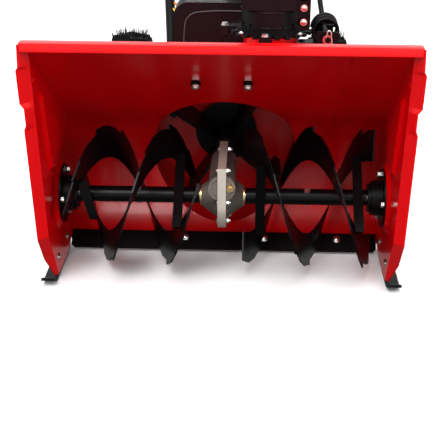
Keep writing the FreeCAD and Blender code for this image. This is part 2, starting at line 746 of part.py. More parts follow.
def gearbox_trim():
    """The oil plug in its boss on the nose, and the seals of the auger shaft."""
    y = AUGER_Y - NOSE_FRONT
    boss = cylinder(PLUG_BOSS_R, (PLUG_X, y - PLUG_BOSS_RISE, PLUG_Z), (PLUG_X, y, PLUG_Z))
    plug = hexagon((PLUG_X, y - PLUG_BOSS_RISE, PLUG_Z), (PLUG_X, y - PLUG_BOSS_RISE - 4, PLUG_Z), 8)
    return [fuse(boss, plug)] + shaft_seals()


def shaft_seals():
    """Bright seals where the auger shaft leaves the gearbox."""
    seal = pipe(21, SHAFT_R + RUN_GAP, (GEARBOX_HALF, AUGER_Y, AUGER_Z), (GEARBOX_HALF + SEAL_T, AUGER_Y, AUGER_Z))
    return [seal, mirrored(seal)]


def worm_wheel():
    """Toothed wheel on the auger shaft, cut to clear the worm on its way round."""
    tip = gear_tip_r()
    x0, x1 = -GEAR_FACE / 2, GEAR_FACE / 2
    wheel = cylinder(tip, (x0, AUGER_Y, AUGER_Z), (x1, AUGER_Y, AUGER_Z))
    gap = box(x0 - 1, x1 + 1, AUGER_Y + tip - 4.5, AUGER_Y + tip + 2, AUGER_Z - 2.2, AUGER_Z + 2.2)
    gaps = [turned(gap, (0, AUGER_Y, AUGER_Z), X_AXIS, 360.0 * k / WHEEL_TEETH) for k in range(WHEEL_TEETH)]
    wheel = wheel.cut(gaps)
    hub = [cylinder(16, (x1, AUGER_Y, AUGER_Z), (x1 + 1.5, AUGER_Y, AUGER_Z)),
           cylinder(16, (x0 - 1.5, AUGER_Y, AUGER_Z), (x0, AUGER_Y, AUGER_Z))]
    return fuse(wheel, *hub).cut(cylinder(SHAFT_R, (x0 - 5, AUGER_Y, AUGER_Z), (x1 + 5, AUGER_Y, AUGER_Z)))


BUSH_R = 16.0


def impeller_shaft():
    """Worm, shaft and keyed pulley end in one line through the barrel."""
    z = IMPELLER_Z
    shaft = cylinder(SHAFT_R, (0, AUGER_Y - 56, z), (0, PULLEY_Y + 20, z))
    root = cylinder(WORM_ROOT_R, (0, AUGER_Y - 36, z), (0, AUGER_Y + 36, z))
    collars = [cylinder(WORM_R, (0, AUGER_Y + d - 2, z), (0, AUGER_Y + d + 2, z)) for d in (-34, 34)]
    return fuse(shaft, root, *collars)


IMPELLER_FRONT = 176.0
IMPELLER_DEEP = 118.0


def impeller():
    """Four-bladed fan on a hub: each blade is a bent plate with a swept tip, on a backing disc."""
    z = IMPELLER_Z
    y0, y1 = AUGER_Y + IMPELLER_FRONT, AUGER_Y + IMPELLER_FRONT + IMPELLER_DEEP
    hub = cylinder(22, (0, y0 + 4, z), (0, y1 + 6, z))
    disc = cylinder(72, (0, y1 - 4, z), (0, y1, z))
    outline = [(18, y1), (18, y0 + 30), (70, y0 + 6), (118, y0), (IMPELLER_R, y0 + 14), (IMPELLER_R, y1)]
    blade = slab_z(outline, z - 2.5, z + 2.5)
    tip = box(IMPELLER_R - 22, IMPELLER_R - 4, y0 + 18, y1, z, z + 16)
    gusset = slab_z([(20, y1 - 4), (20, y0 + 44), (100, y1 - 4)], z + 2.5, z + 8)
    parts = [hub, disc]
    for k in range(4):
        one = fuse(blade, tip.common(cylinder(IMPELLER_R, (0, y0, z), (0, y1, z))), gusset)
        parts.append(turned(one, (0, 0, z), Y_AXIS, 90 * k + 35))
    return fuse(*parts).cut(cylinder(SHAFT_R, (0, y0 - 5, z), (0, y1 + 20, z)))


def barrel_bearing():
    """Flanged bearing on the barrel's back plate."""
    z, y = IMPELLER_Z, BARREL_BACK_Y
    plate = cylinder(44, (0, y, z), (0, y + 4, z))
    cup = cylinder(BUSH_R + 9, (0, y + 4, z), (0, y + 14, z))
    nose = cylinder(BUSH_R - 0.2, (0, y - 6, z), (0, y, z))
    return fuse(plate, cup, nose).cut(cylinder(SHAFT_R + SHAFT_GAP, (0, y - 10, z), (0, y + 20, z)))


def skid_left():
    return mirrored(skid_right())


def side_plate_left():
    return mirrored(side_plate_right())


def bearing_flange_left():
    return mirrored(bearing_flange_right())


# ---------------------------------------------------------------- belts and pulleys
def hull(low_z, low_r, high_z, high_r, y0, y1):
    """The outline of a belt round two pulleys at x 0, as a solid."""
    lean = math.asin((low_r - high_r) / (high_z - low_z))
    c, s = math.cos(lean), math.sin(lean)
    sides = [(low_r * c, low_z + low_r * s), (high_r * c, high_z + high_r * s)]
    flank = sides + [(-x, z) for x, z in sides[::-1]]
    return fuse(cylinder(low_r, (0, y0, low_z), (0, y1, low_z)),
                cylinder(high_r, (0, y0, high_z), (0, y1, high_z)), slab_y(flank, y0, y1))


def belt(low_z, low_r, high_z, high_r, y):
    y0, y1 = y - BELT_WIDTH / 2, y + BELT_WIDTH / 2
    outer = hull(low_z, low_r, high_z, high_r, y0, y1)
    return outer.cut(hull(low_z, low_r - BELT_T, high_z, high_r - BELT_T, y0, y1))


def belts():
    """Auger belt in front, drive belt behind it, both off the engine's crank pulley."""
    return [belt(IMPELLER_Z, IMPELLER_PULLEY_R, CRANK_Z, CRANK_PULLEY_R, PULLEY_Y),
            belt(PLATE_Z, DRIVE_PULLEY_R, CRANK_Z, CRANK_PULLEY_R - 6, DRIVE_BELT_Y)]


def pulley(radius, y, z):
    """A V-belt pulley about a line along Y at x 0, without its bore."""
    half = BELT_WIDTH / 2
    disc = cylinder(radius, (0, y - half - 3, z), (0, y + half + 3, z))
    return disc.cut(pipe(radius + 1, radius - BELT_T - RUN_GAP,
                         (0, y - half - RUN_GAP, z), (0, y + half + RUN_GAP, z)))


def impeller_pulley():
    wheel = pulley(IMPELLER_PULLEY_R, PULLEY_Y, IMPELLER_Z)
    window = cylinder(16, (60, PULLEY_Y - 12, IMPELLER_Z), (60, PULLEY_Y + 12, IMPELLER_Z))
    windows = [turned(window, (0, 0, IMPELLER_Z), Y_AXIS, 60 * k) for k in range(6)]
    bore = cylinder(SHAFT_R, (0, PULLEY_Y - 12, IMPELLER_Z), (0, PULLEY_Y + 12, IMPELLER_Z))
    return wheel.cut(windows + [bore])


def crank_pulley():
    """Double pulley on the engine's shaft, which it carries as its own stub."""
    front = pulley(CRANK_PULLEY_R, PULLEY_Y, CRANK_Z)
    back = pulley(CRANK_PULLEY_R - 6, DRIVE_BELT_Y, CRANK_Z)
    link = cylinder(20, (0, PULLEY_Y + 8, CRANK_Z), (0, DRIVE_BELT_Y - 8, CRANK_Z))
    stub = cylinder(12, (0, PULLEY_Y - 14, CRANK_Z), (0, ENGINE_FRONT_Y + 20, CRANK_Z))
    return fuse(front, back, link, stub)


IDLER_PIN = (108.0, 292.0)
IDLER_ROLLER = (97.0, 362.0)


def idler():
    """Swinging arm with the roller that tightens the auger belt."""
    (px, pz), (rx, rz) = IDLER_PIN, IDLER_ROLLER
    y0, y1 = PULLEY_Y + 11, PULLEY_Y + 15
    arm = box(-9, 9, y0, y1, 0, math.hypot(rx - px, rz - pz))
    arm = turned(arm, (0, 0, 0), Y_AXIS, math.degrees(math.atan2(rx - px, rz - pz)))
    arm.translate(V(px, 0, pz))
    ends = [cylinder(9, (px, y0, pz), (px, y1, pz)), cylinder(9, (rx, y0, rz), (rx, y1, rz))]
    boss = cylinder(9, (px, y1, pz), (px, FRAME_WALL_Y - 0.3, pz))
    roller = cylinder(20, (rx, PULLEY_Y - 7, rz), (rx, PULLEY_Y + 7, rz))
    neck = cylinder(6, (rx, PULLEY_Y - 9, rz), (rx, y1, rz))
    bore = cylinder(5 + SHAFT_GAP, (px, y0 - 1, pz), (px, FRAME_WALL_Y, pz))
    return fuse(arm, *ends, boss, roller, neck).cut(bore)


# ---------------------------------------------------------------- chute
def about_neck(solid, degrees):
    return turned(solid, (NECK_X, NECK_Y, 0), Z_AXIS, degrees)


def chute_ring():
    """Notched ring that turns on the neck; the worm's wire runs in its notches."""
    z0, z1 = NECK_TOP + 0.2, NECK_TOP + RING_T
    ring = pipe(RING_R, NECK_R - SHEET, (NECK_X, NECK_Y, z0), (NECK_X, NECK_Y, z1))
    notch = box(NECK_X + RING_R - NOTCH_DEPTH, NECK_X + RING_R + 5, NECK_Y - NOTCH_WIDTH / 2,
                NECK_Y + NOTCH_WIDTH / 2, z0 - 1, z1 + 1)
    root = cylinder(NOTCH_WIDTH / 2, (NECK_X + RING_R - NOTCH_DEPTH, NECK_Y, z0 - 1),
                    (NECK_X + RING_R - NOTCH_DEPTH, NECK_Y, z1 + 1))
    notch = fuse(notch, root)
    notches = [about_neck(notch, 360.0 * k / NOTCHES) for k in range(NOTCHES)]
    return ring.cut(notches)


def chute_keepers():
    """Bolted clips that hold the ring down on the neck."""
    parts = []
    for degrees in KEEPER_ANGLES:
        z = NECK_TOP
        lug = box(NECK_X + NECK_R + 0.5, NECK_X + RING_R + 16, NECK_Y - 12, NECK_Y + 12, z - 9, z - 4)
        post = box(NECK_X + RING_R + 1, NECK_X + RING_R + 16, NECK_Y - 12, NECK_Y + 12, z - 4, z + RING_T + 0.5)
        clip = box(NECK_X + RING_R - 16, NECK_X + RING_R + 16, NECK_Y - 12, NECK_Y + 12,
                   z + RING_T + 0.5, z + RING_T + 4)
        bx = NECK_X + RING_R + 8.5
        head = hexagon((bx, NECK_Y, z + RING_T + 4), (bx, NECK_Y, z + RING_T + 9), 11)
        nut = hexagon((bx, NECK_Y, z - 15), (bx, NECK_Y, z - 9), 11)
        parts.append(about_neck(fuse(lug, post, clip, head, nut), degrees))
    return parts


def chute_profile(inset, x0, x1):
    """Side view of the duct as a solid: straight front, back wall arched forward at the top."""
    y = NECK_Y
    back = CHUTE_HALF - inset
    bend_z, top_z = CHUTE_BEND_Z, CHUTE_TOP_Z
    foot_z = COLLAR_TOP - 4
    a, b = V(0, y + back, foot_z), V(0, y + back, bend_z)
    middle = V(0, y + back - 12, (bend_z + top_z) / 2 + 6)
    c = V(0, y + back - 46 - inset * 0.2, top_z)
    d, e = V(0, y - back, top_z - 62), V(0, y - back, foot_z)
    loop = [Part.makeLine(a, b), Part.Arc(b, middle, c).toShape(), Part.makeLine(c, d),
            Part.makeLine(d, e), Part.makeLine(e, a)]
    face = Part.Face(Part.Wire(loop))
    face.translate(V(x0, 0, 0))
    return face.extrude(V(x1 - x0, 0, 0))


def chute():
    """Collar and duct: closed at the foot, open to the front above it."""
    z0 = NECK_TOP + RING_T
    r = CHUTE_HALF
    collar = pipe(r, r - SHEET, (NECK_X, NECK_Y, z0), (NECK_X, NECK_Y, COLLAR_TOP))
    foot = pipe(r + 9, r - SHEET, (NECK_X, NECK_Y, z0), (NECK_X, NECK_Y, z0 + 3))
    duct = chute_profile(0, NECK_X - r, NECK_X + r).cut(chute_profile(SHEET, NECK_X - r + SHEET, NECK_X + r - SHEET))
    mouth = box(NECK_X - r + SHEET, NECK_X + r - SHEET, NECK_Y - r - 5, NECK_Y - r + SHEET,
                CHUTE_MOUTH_Z, CHUTE_TOP_Z)
    outlet = box(NECK_X - r + SHEET, NECK_X + r - SHEET, NECK_Y - r + SHEET, NECK_Y + 9,
                 CHUTE_TOP_Z - 75, CHUTE_TOP_Z + 5)
    bore = cylinder(r - SHEET, (NECK_X, NECK_Y, z0), (NECK_X, NECK_Y, COLLAR_TOP + 1))
    rolls = [box(x, x + 9, NECK_Y - r - 1.5, NECK_Y - r + 1.5, CHUTE_MOUTH_Z + 20, CHUTE_TOP_Z - 66)
             for x in (NECK_X - r - 3, NECK_X + r - 6)]
    pins = [cylinder(5, (NECK_X + s * (r - 1), *hinge_place()), (NECK_X + s * (r + 10), *hinge_place()))
            for s in (-1, 1)]
    return [fuse(collar, foot, duct.cut([mouth, outlet, bore]), *rolls, *pins)] + wing_nuts()


def hinge_place():
    return NECK_Y + CHUTE_HALF - 56, CHUTE_TOP_Z - 24


def deflector():
    """Hinged hood over the outlet: top plate, two cheeks, and its wing knob."""
    hy, hz = hinge_place()
    inner = CHUTE_HALF + 0.5
    outer = inner + SHEET
    outline = [(hy + 20, hz + 30), (hy - 10, hz + 60), (hy - 70, hz + 108), (hy - 128, hz + 118),
               (hy - 122, hz + 62), (hy - 60, hz + 22), (hy - 8, hz - 14), (hy + 14, hz - 6)]
    hood = slab_x(outline, NECK_X - outer, NECK_X + outer)
    hollow = [(hy + 40, hz - 40), (hy + 24, hz + 26), (hy - 11, hz + 56.5), (hy - 71, hz + 104.5),
              (hy - 140, hz + 116), (hy - 140, hz - 40)]
    hood = hood.cut(slab_x(hollow, NECK_X - inner, NECK_X + inner))
    bores = [cylinder(5 + RUN_GAP, (NECK_X + s * (inner - 2), hy, hz), (NECK_X + s * (outer + 2), hy, hz))
             for s in (-1, 1)]
    return hood.cut(bores)


def wing_nuts():
    """Wing nuts on the hinge pins."""
    hy, hz = hinge_place()
    parts = []
    for s in (-1, 1):
        x0 = NECK_X + s * (CHUTE_HALF + 0.5 + SHEET + 0.3)
        x1 = x0 + s * 12
        body = pipe(11, 5, (x0, hy, hz), (x1, hy, hz))
        wings = box(min(x0, x1) + 2, max(x0, x1), hy - 22, hy + 22, hz - 3, hz + 3)
        parts.append(fuse(body, wings.cut(cylinder(10, (x0 - 20, hy, hz), (x0 + 20, hy, hz)))))
    return parts


def chute_bracket():
    """Plate from the neck with two ears that carry the worm."""
    x0, x1 = WORM_X - 22, WORM_X + 22
    z0, z1 = WORM_Z - 38, WORM_Z - 34
    plate = box(NECK_X + 20, x1, WORM_FRONT - 8, WORM_BACK + 3, z0, z1)
    hole = cylinder(NECK_R + 0.3, (NECK_X, NECK_Y, z0 - 1), (NECK_X, NECK_Y, z1 + 1))
    plate = plate.cut(hole)
    ears = [box(x0, x1, y, y + 3, z0, WORM_Z + 14) for y in (WORM_FRONT - 8, WORM_BACK)]
    bores = [cylinder(6 + SHAFT_GAP, (WORM_X, y - 1, WORM_Z), (WORM_X, y + 4, WORM_Z))
             for y in (WORM_FRONT - 8, WORM_BACK)]
    whole = fuse(plate, *ears).cut(bores)
    bolts = [bolt((WORM_X - 48, y, z1), (WORM_X - 48, y, z0 - 8), 3.5, 8, 4)
             for y in (WORM_FRONT + 12, WORM_BACK - 14)]
    return [fuse(whole, *bolts)]


def chute_worm():
    """Wire coil on its shaft, with the cup that takes the crank rod's ball and the clip in front."""
    radius = WORM_COIL_R - WIRE_R
    helix = Part.makeHelix(WORM_PITCH, WORM_PITCH * WORM_TURNS, radius, 0)
    start = V(radius, 0, 0)
    slope = V(0, 2 * math.pi * radius, WORM_PITCH)
    ring = Part.Wire(Part.makeCircle(WIRE_R, start, slope))
    coil = Part.Wire(helix.Edges).makePipeShell([ring], True, True)
    coil.rotate(V(0, 0, 0), X_AXIS, -90)
    coil.rotate(V(0, 0, 0), Y_AXIS, WORM_PHASE)
    length = WORM_PITCH * WORM_TURNS
    coil.translate(V(WORM_X, NECK_Y - length / 2, WORM_Z))
    shaft = cylinder(6, (WORM_X, WORM_FRONT - 24, WORM_Z), (WORM_X, WORM_BACK + 8, WORM_Z))
    arms = []
    for y, k in ((NECK_Y - length / 2, 0), (NECK_Y + length / 2, 1)):
        angle = WORM_PHASE + 360.0 * WORM_TURNS * k
        arm = cylinder(WIRE_R, (WORM_X, y, WORM_Z), (WORM_X + radius, y, WORM_Z))
        arms.append(turned(arm, (WORM_X, y, WORM_Z), Y_AXIS, angle))
    washer = cylinder(11, (WORM_X, WORM_FRONT - 12, WORM_Z), (WORM_X, WORM_FRONT - 9, WORM_Z))
    clip = cylinder(1.6, (WORM_X, WORM_FRONT - 16, WORM_Z - 20), (WORM_X, WORM_FRONT - 16, WORM_Z + 14))
    cup = cylinder(15, (WORM_X, WORM_BACK + 4, WORM_Z), (WORM_X, WORM_BACK + 24, WORM_Z))
    socket = Part.makeSphere(BALL_R + RUN_GAP, V(*ROD_FOOT))
    mouth = ROD_FOOT[1]
    throat = cone(BALL_R - 1.4, BALL_R + 4.2, (WORM_X, mouth - 3.6, WORM_Z), (WORM_X, mouth + 3.4, WORM_Z))
    return fuse(coil, shaft, *arms, washer, clip, cup.cut([socket, throat]))


def chute_crank():
    """Rod from the worm up to the dash, with its crank arm and knob."""
    foot, head = V(*ROD_FOOT), V(*ROD_HEAD)
    axis = (head - foot).normalize()
    ball = Part.makeSphere(BALL_R, foot)
    rod = cylinder(6, ROD_FOOT, ROD_HEAD)
    throw = head - X_AXIS * CRANK_THROW
    elbow = Part.makeSphere(6, head)
    arm = cylinder(6, ROD_HEAD, tuple(throw))
    end = Part.makeSphere(6, throw)
    pin = cylinder(6, tuple(throw), tuple(throw + axis * 22))
    knob = cylinder(14, tuple(throw + axis * 22), tuple(throw + axis * 88))
    collar = cylinder(10, tuple(head - axis * 46), tuple(head - axis * 40))
    return fuse(ball, rod, elbow, arm, end, pin, knob, collar)


# ---------------------------------------------------------------- tractor
def tractor_frame():
    """Folded body: cheeks, front wall, top and back, with the bearing plates of the axle."""
    half, t = FRAME_WIDTH / 2, SHEET
    cheek = box(half - t, half, FRAME_FRONT_Y, FRAME_BACK_Y, FRAME_BOTTOM, FRAME_TOP)
    flange = box(half, half + 26, FRAME_FRONT_Y, FRAME_FRONT_Y + t, IMPELLER_Z - 56, IMPELLER_Z + 56)
    bush = pipe(22, AXLE_R + SHAFT_GAP, (half - 8, AXLE_Y, AXLE_Z), (half + 10, AXLE_Y, AXLE_Z))
    hex_bush = pipe(16, AXLE_R + SHAFT_GAP, (half - 8, HEX_Y, HEX_Z), (half + 4, HEX_Y, HEX_Z))
    side = fuse(cheek, flange)
    side = side.cut([cylinder(21, (half - 9, AXLE_Y, AXLE_Z), (half + 9, AXLE_Y, AXLE_Z)),
                     cylinder(15, (half - 9, HEX_Y, HEX_Z), (half + 9, HEX_Y, HEX_Z))])
    side = fuse(side, bush, hex_bush)
    wall = box(-half, half, FRAME_WALL_Y, FRAME_WALL_Y + t, FRAME_BOTTOM, FRAME_TOP)
    top = box(-half, half, FRAME_WALL_Y, FRAME_BACK_Y, FRAME_TOP - t, FRAME_TOP)
    back = box(-half, half, FRAME_BACK_Y - t, FRAME_BACK_Y, FRAME_BOTTOM + 40, FRAME_TOP)
    floor = box(-half, half, FRAME_WALL_Y, FRAME_BACK_Y, FRAME_BOTTOM, FRAME_BOTTOM + t)
    window = box(-half + 40, half - 40, FRAME_WALL_Y + 60, FRAME_BACK_Y - 60, FRAME_BOTTOM - 1, FRAME_BOTTOM + t + 1)
    plate_bush = pipe(15, 8 + SHAFT_GAP, (0, FRAME_WALL_Y - 1, PLATE_Z), (0, FRAME_WALL_Y + 8, PLATE_Z))
    wall = wall.cut(cylinder(14, (0, FRAME_WALL_Y - 2, PLATE_Z), (0, FRAME_WALL_Y + 9, PLATE_Z)))
    idler_pin = cylinder(5, (IDLER_PIN[0], PULLEY_Y + 9, IDLER_PIN[1]), (IDLER_PIN[0], FRAME_WALL_Y + 1, IDLER_PIN[1]))
    return fuse(side, mirrored(side), wall, top, back, floor.cut(window), plate_bush, idler_pin)


def drive_plate():
    """Friction plate, its short shaft through the front wall, and the drive belt's pulley."""
    z = PLATE_Z
    plate = cylinder(PLATE_R, (0, PLATE_FACE_Y - 6, z), (0, PLATE_FACE_Y, z))
    shaft = cylinder(8, (0, DRIVE_BELT_Y - 9, z), (0, PLATE_FACE_Y - 3, z))
    wheel = pulley(DRIVE_PULLEY_R, DRIVE_BELT_Y, z)
    return fuse(plate, shaft, wheel)


def hex_shaft():
    """Hexagonal cross shaft on round journals, with the pinion that drives the axle."""
    half = FRAME_WIDTH / 2
    core = hexagon((-half + 10, HEX_Y, HEX_Z), (half - 10, HEX_Y, HEX_Z), 15)
    journals = cylinder(AXLE_R, (-half - 3, HEX_Y, HEX_Z), (half + 3, HEX_Y, HEX_Z))
    return fuse(core, journals.cut(box(-half + 12, half - 12, -50, 50, 0, 500)), toothed(PINION_TEETH, HEX_Y, HEX_Z, mesh_angle() + 180))


def mesh_angle():
    """Direction from the axle to the cross shaft, from +Y, in degrees."""
    return math.degrees(math.atan2(HEX_Z - AXLE_Z, HEX_Y - AXLE_Y))


def toothed(teeth, y, z, first):
    """A straight-toothed gear about X at the reduction's place."""
    pitch_r = GEAR_MODULE * teeth / 2
    x0, x1 = REDUCTION_X, REDUCTION_X + 10
    body = cylinder(pitch_r - GEAR_MODULE * 1.1, (x0, y, z), (x1, y, z))
    half_base, half_tip = GEAR_MODULE * 0.62, GEAR_MODULE * 0.34
    root, tip = pitch_r - GEAR_MODULE * 1.3, pitch_r + GEAR_MODULE * 0.75
    tooth = slab_x([(y + root, z - half_base), (y + tip, z - half_tip),
                    (y + tip, z + half_tip), (y + root, z + half_base)], x0, x1)
    ring = [turned(tooth, (0, y, z), X_AXIS, first + 360.0 * k / teeth) for k in range(teeth)]
    return fuse(body, *ring)


def axle_gear():
    gear = toothed(GEAR_TEETH, AXLE_Y, AXLE_Z, mesh_angle() + 180.0 / GEAR_TEETH)
    hub = cylinder(20, (REDUCTION_X + 9, AXLE_Y, AXLE_Z), (REDUCTION_X + 20, AXLE_Y, AXLE_Z))
    return fuse(gear, hub).cut(cylinder(AXLE_R, (-200, AXLE_Y, AXLE_Z), (0, AXLE_Y, AXLE_Z)))


def friction_wheel():
    """Rubber-rimmed wheel on a sliding hub, with the groove its shift fork rides in."""
    y, z = HEX_Y, HEX_Z
    rim = cylinder(FRICTION_R, (-6, y, z), (6, y, z))
    web = cylinder(FRICTION_R - 10, (-8, y, z), (8, y, z))
    hub = cylinder(17, (-26, y, z), (10, y, z))
    groove = pipe(20, 13, (-22, y, z), (-16, y, z))
    bore = hexagon((-30, y, z), (30, y, z), 15 + 4 * SHAFT_GAP)
    return fuse(rim, web, hub).cut([groove, bore])


def axle():
    """Wheel axle with the pins that lock both hubs."""
    reach = TRACK / 2 + TYRE_WIDTH / 2 - 2
    shaft = cylinder(AXLE_R, (-reach, AXLE_Y, AXLE_Z), (reach, AXLE_Y, AXLE_Z))
    pins = []
    for s in (-1, 1):
        x = s * (TRACK / 2 + 30)
        pins.append(cylinder(3.5, (x, AXLE_Y, AXLE_Z - 24), (x, AXLE_Y, AXLE_Z + 26)))
    return fuse(shaft, *pins)


def revolved(profile, x_mid):
    """Turns an (offset along X, radius) outline round the axle's line."""
    pts = [V(x_mid + x, AXLE_Y, AXLE_Z + r) for x, r in profile]
    face = Part.Face(Part.makePolygon(pts + [pts[0]]))
    return face.revolve(V(0, AXLE_Y, AXLE_Z), X_AXIS, 360)


def rim(side):
    """Pressed steel wheel: two bead seats, a well, a dished disc and the hub tube."""
    x = side * TRACK / 2
    s = side
    half = TYRE_WIDTH / 2 - 12
    well = [(-half - 2, RIM_R + 9), (-half, RIM_R), (-half + 12, RIM_R), (-half + 18, RIM_R - 9),
            (half - 18, RIM_R - 9), (half - 12, RIM_R), (half, RIM_R), (half + 2, RIM_R + 9),
            (half + 5, RIM_R + 9), (half + 3, RIM_R - 3), (half - 11, RIM_R - 3), (half - 17, RIM_R - 12),
            (-half + 17, RIM_R - 12), (-half + 11, RIM_R - 3), (-half - 3, RIM_R - 3), (-half - 5, RIM_R + 9)]
    disc = [(s * 2, RIM_R - 11), (s * 5, RIM_R - 11), (s * 5, 62), (s * 20, 44), (s * 20, 15), (s * 17, 15),
            (s * 17, 43), (s * 2, 61)]
    hub = pipe(18, AXLE_R, (x - s * 40, AXLE_Y, AXLE_Z), (x + s * 38, AXLE_Y, AXLE_Z))
    pin = cylinder(3.5, (x + s * 30, AXLE_Y, AXLE_Z - 30), (x + s * 30, AXLE_Y, AXLE_Z + 30))
    whole = fuse(revolved(well, x), revolved(disc, x), hub)
    windows = [turned(cylinder(7, (x - 30, AXLE_Y, AXLE_Z + 71), (x + 30, AXLE_Y, AXLE_Z + 71)),
                      (0, AXLE_Y, AXLE_Z), X_AXIS, 60 * k + 30) for k in range(6)]
    return whole.cut(windows + [pin])


def rim_left():
    return rim(-1)


def rim_right():
    return rim(1)


def tyre(side):
    """Snow tyre: rounded carcass with a staggered row of lugs on each shoulder."""
    x = side * TRACK / 2
    w, r = TYRE_WIDTH / 2, WHEEL_R - LUG_HEIGHT
    outer = [(-w + 12, RIM_R), (-w + 12, RIM_R + 10), (-w + 2, RIM_R + 34), (-w, RIM_R + 62), (-w + 8, r - 12),
             (-w + 24, r), (w - 24, r), (w - 8, r - 12), (w, RIM_R + 62), (w - 2, RIM_R + 34), (w - 12, RIM_R + 10),
             (w - 12, RIM_R)]
    wall = 7
    inner = [(w - 22, RIM_R), (w - 20, RIM_R + 14), (w - wall - 3, RIM_R + 36), (w - wall, RIM_R + 60),
             (w - 16, r - 20), (w - 28, r - wall - 4), (-w + 28, r - wall - 4), (-w + 16, r - 20),
             (-w + wall, RIM_R + 60), (-w + wall + 3, RIM_R + 36), (-w + 20, RIM_R + 14), (-w + 22, RIM_R)]
    carcass = revolved(outer + inner, x)
    lugs = []
    for k in range(LUGS):
        for s in (-1, 1):
            lug = loft([[(x + s * 3, -7, AXLE_Z + r - 3), (x + s * 3, 7, AXLE_Z + r - 3),
                         (x + s * 3, 6, AXLE_Z + WHEEL_R - 0.5), (x + s * 3, -6, AXLE_Z + WHEEL_R - 0.5)],
                        [(x + s * (w - 2), 9, AXLE_Z + r - 20), (x + s * (w - 2), 25, AXLE_Z + r - 20),
                         (x + s * (w - 8), 22, AXLE_Z + WHEEL_R - 10), (x + s * (w - 8), 10, AXLE_Z + WHEEL_R - 10)]])
            angle = 360.0 * (k + 0.25 * (s > 0) * 2) / LUGS
            lugs.append(turned(lug, (0, AXLE_Y, AXLE_Z), X_AXIS, angle))
    whole = fuse(carcass, *lugs)
    limit = cylinder(WHEEL_R, (x - 100, AXLE_Y, AXLE_Z), (x + 100, AXLE_Y, AXLE_Z))
    return whole.common(limit)


def tyre_left():
    return tyre(-1)


def tyre_right():
    return tyre(1)


# ---------------------------------------------------------------- engine
def block(x0, x1, y0, y1, z0, z1, radius, direction=Z_AXIS):
    """A box with the edges along one direction rounded."""
    return rounded(box(x0, x1, y0, y1, z0, z1), radius, lambda e: along(e, direction))


def engine_block():
    """Crankcase with its foot, and the finned cylinder on the left."""
    y0 = ENGINE_FRONT_Y
    case = block(-78, 78, y0, ENGINE_BACK_Y, FRAME_TOP + 8, CRANK_Z + 26, 14, Y_AXIS)
    foot = box(-92, 92, y0 + 4, ENGINE_BACK_Y - 6, FRAME_TOP, FRAME_TOP + 10)
    head = box(-112, -76, y0 + 40, y0 + 130, FRAME_TOP + 40, CRANK_Z + 18)
    fins = [box(-116, -80, y0 + 36, y0 + 134, z, z + 3) for z in range(int(FRAME_TOP) + 44, int(CRANK_Z) + 16, 9)]
    boss = cylinder(34, (0, y0 - 4, CRANK_Z), (0, y0 + 2, CRANK_Z))
    bore = cylinder(12 + SHAFT_GAP, (0, y0 - 10, CRANK_Z), (0, y0 + 21, CRANK_Z))
    return fuse(case, foot, head, *fins, boss).cut(bore)


def engine_shroud():
    """Rounded top cover over the crankcase's left half."""
    z0 = CRANK_Z + 26
    cover = block(-112, -2, ENGINE_FRONT_Y + 80, ENGINE_BACK_Y, z0, z0 + 84, 16, Y_AXIS)
    louvres = [box(-114, -108, ENGINE_FRONT_Y + 94 + 16 * k, ENGINE_FRONT_Y + 102 + 16 * k, z0 + 18, z0 + 62)
               for k in range(6)]
    return cover.cut(louvres)


def fuel_tank():
    z0 = CRANK_Z + 26
    tank = block(0, 114, ENGINE_FRONT_Y + 18, ENGINE_BACK_Y, z0, z0 + 96, 18, Y_AXIS)
    neck = cylinder(20, (TANK_CAP[0], TANK_CAP[1], z0 + 94), (TANK_CAP[0], TANK_CAP[1], z0 + 108))
    hole = cylinder(15, (TANK_CAP[0], TANK_CAP[1], z0 + 80), (TANK_CAP[0], TANK_CAP[1], z0 + 109))
    return fuse(tank, neck).cut(hole)


TANK_CAP = (58.0, 90.0)


def fuel_cap():
    z = CRANK_Z + 26 + 108
    x, y = TANK_CAP
    lid = cylinder(26, (x, y, z), (x, y, z + 14))
    skirt = pipe(26, 20 + RUN_GAP, (x, y, z - 9), (x, y, z))
    plug = cylinder(15 - RUN_GAP, (x, y, z - 10), (x, y, z))
    ribs = [turned(box(x + 25, x + 28, y - 3, y + 3, z - 9, z + 12), (x, y, 0), Z_AXIS, 30 * k) for k in range(12)]
    return fuse(lid, skirt, plug, *ribs)


def muffler():
    """Silencer box behind a slotted guard, with its outlet to the left."""
    z0 = CRANK_Z + 26
    can = block(-108, -6, ENGINE_FRONT_Y + 2, ENGINE_FRONT_Y + 74, z0, z0 + 76, 14, X_AXIS)
    slots = [box(-100 + 12 * k, -95 + 12 * k, ENGINE_FRONT_Y, ENGINE_FRONT_Y + 5, z0 + 14, z0 + 62) for k in range(8)]
    outlet = cylinder(11, (-118, ENGINE_FRONT_Y + 38, z0 + 38), (-106, ENGINE_FRONT_Y + 38, z0 + 38))
    hole = cylinder(8, (-119, ENGINE_FRONT_Y + 38, z0 + 38), (-100, ENGINE_FRONT_Y + 38, z0 + 38))
    return fuse(can.cut(slots), outlet).cut(hole)


def carburettor_cover():
    """Heater box on the right that carries the choke, primer and ignition key."""
    cover = block(78, 114, 0, 96, FRAME_TOP + 30, CRANK_Z + 20, 10, X_AXIS)
    seat = pipe(17, 12 + RUN_GAP, (114, *PRIMER), (120, *PRIMER))
    boss = cylinder(10, (114, *CHOKE), (116, *CHOKE))
    well = cylinder(12 + RUN_GAP, (100, *PRIMER), (114, *PRIMER))
    hole = cylinder(4 + SHAFT_GAP, (104, *CHOKE), (117, *CHOKE))
    key = fuse(cylinder(8, (114, *KEY), (117, *KEY)), box(117, 124, KEY[0] - 8, KEY[0] + 8, KEY[1] - 2, KEY[1] + 2))
    return fuse(cover, seat, boss, key).cut([well, hole])


PRIMER = (24.0, 424.0)
CHOKE = (52.0, 430.0)
KEY = (78.0, 432.0)


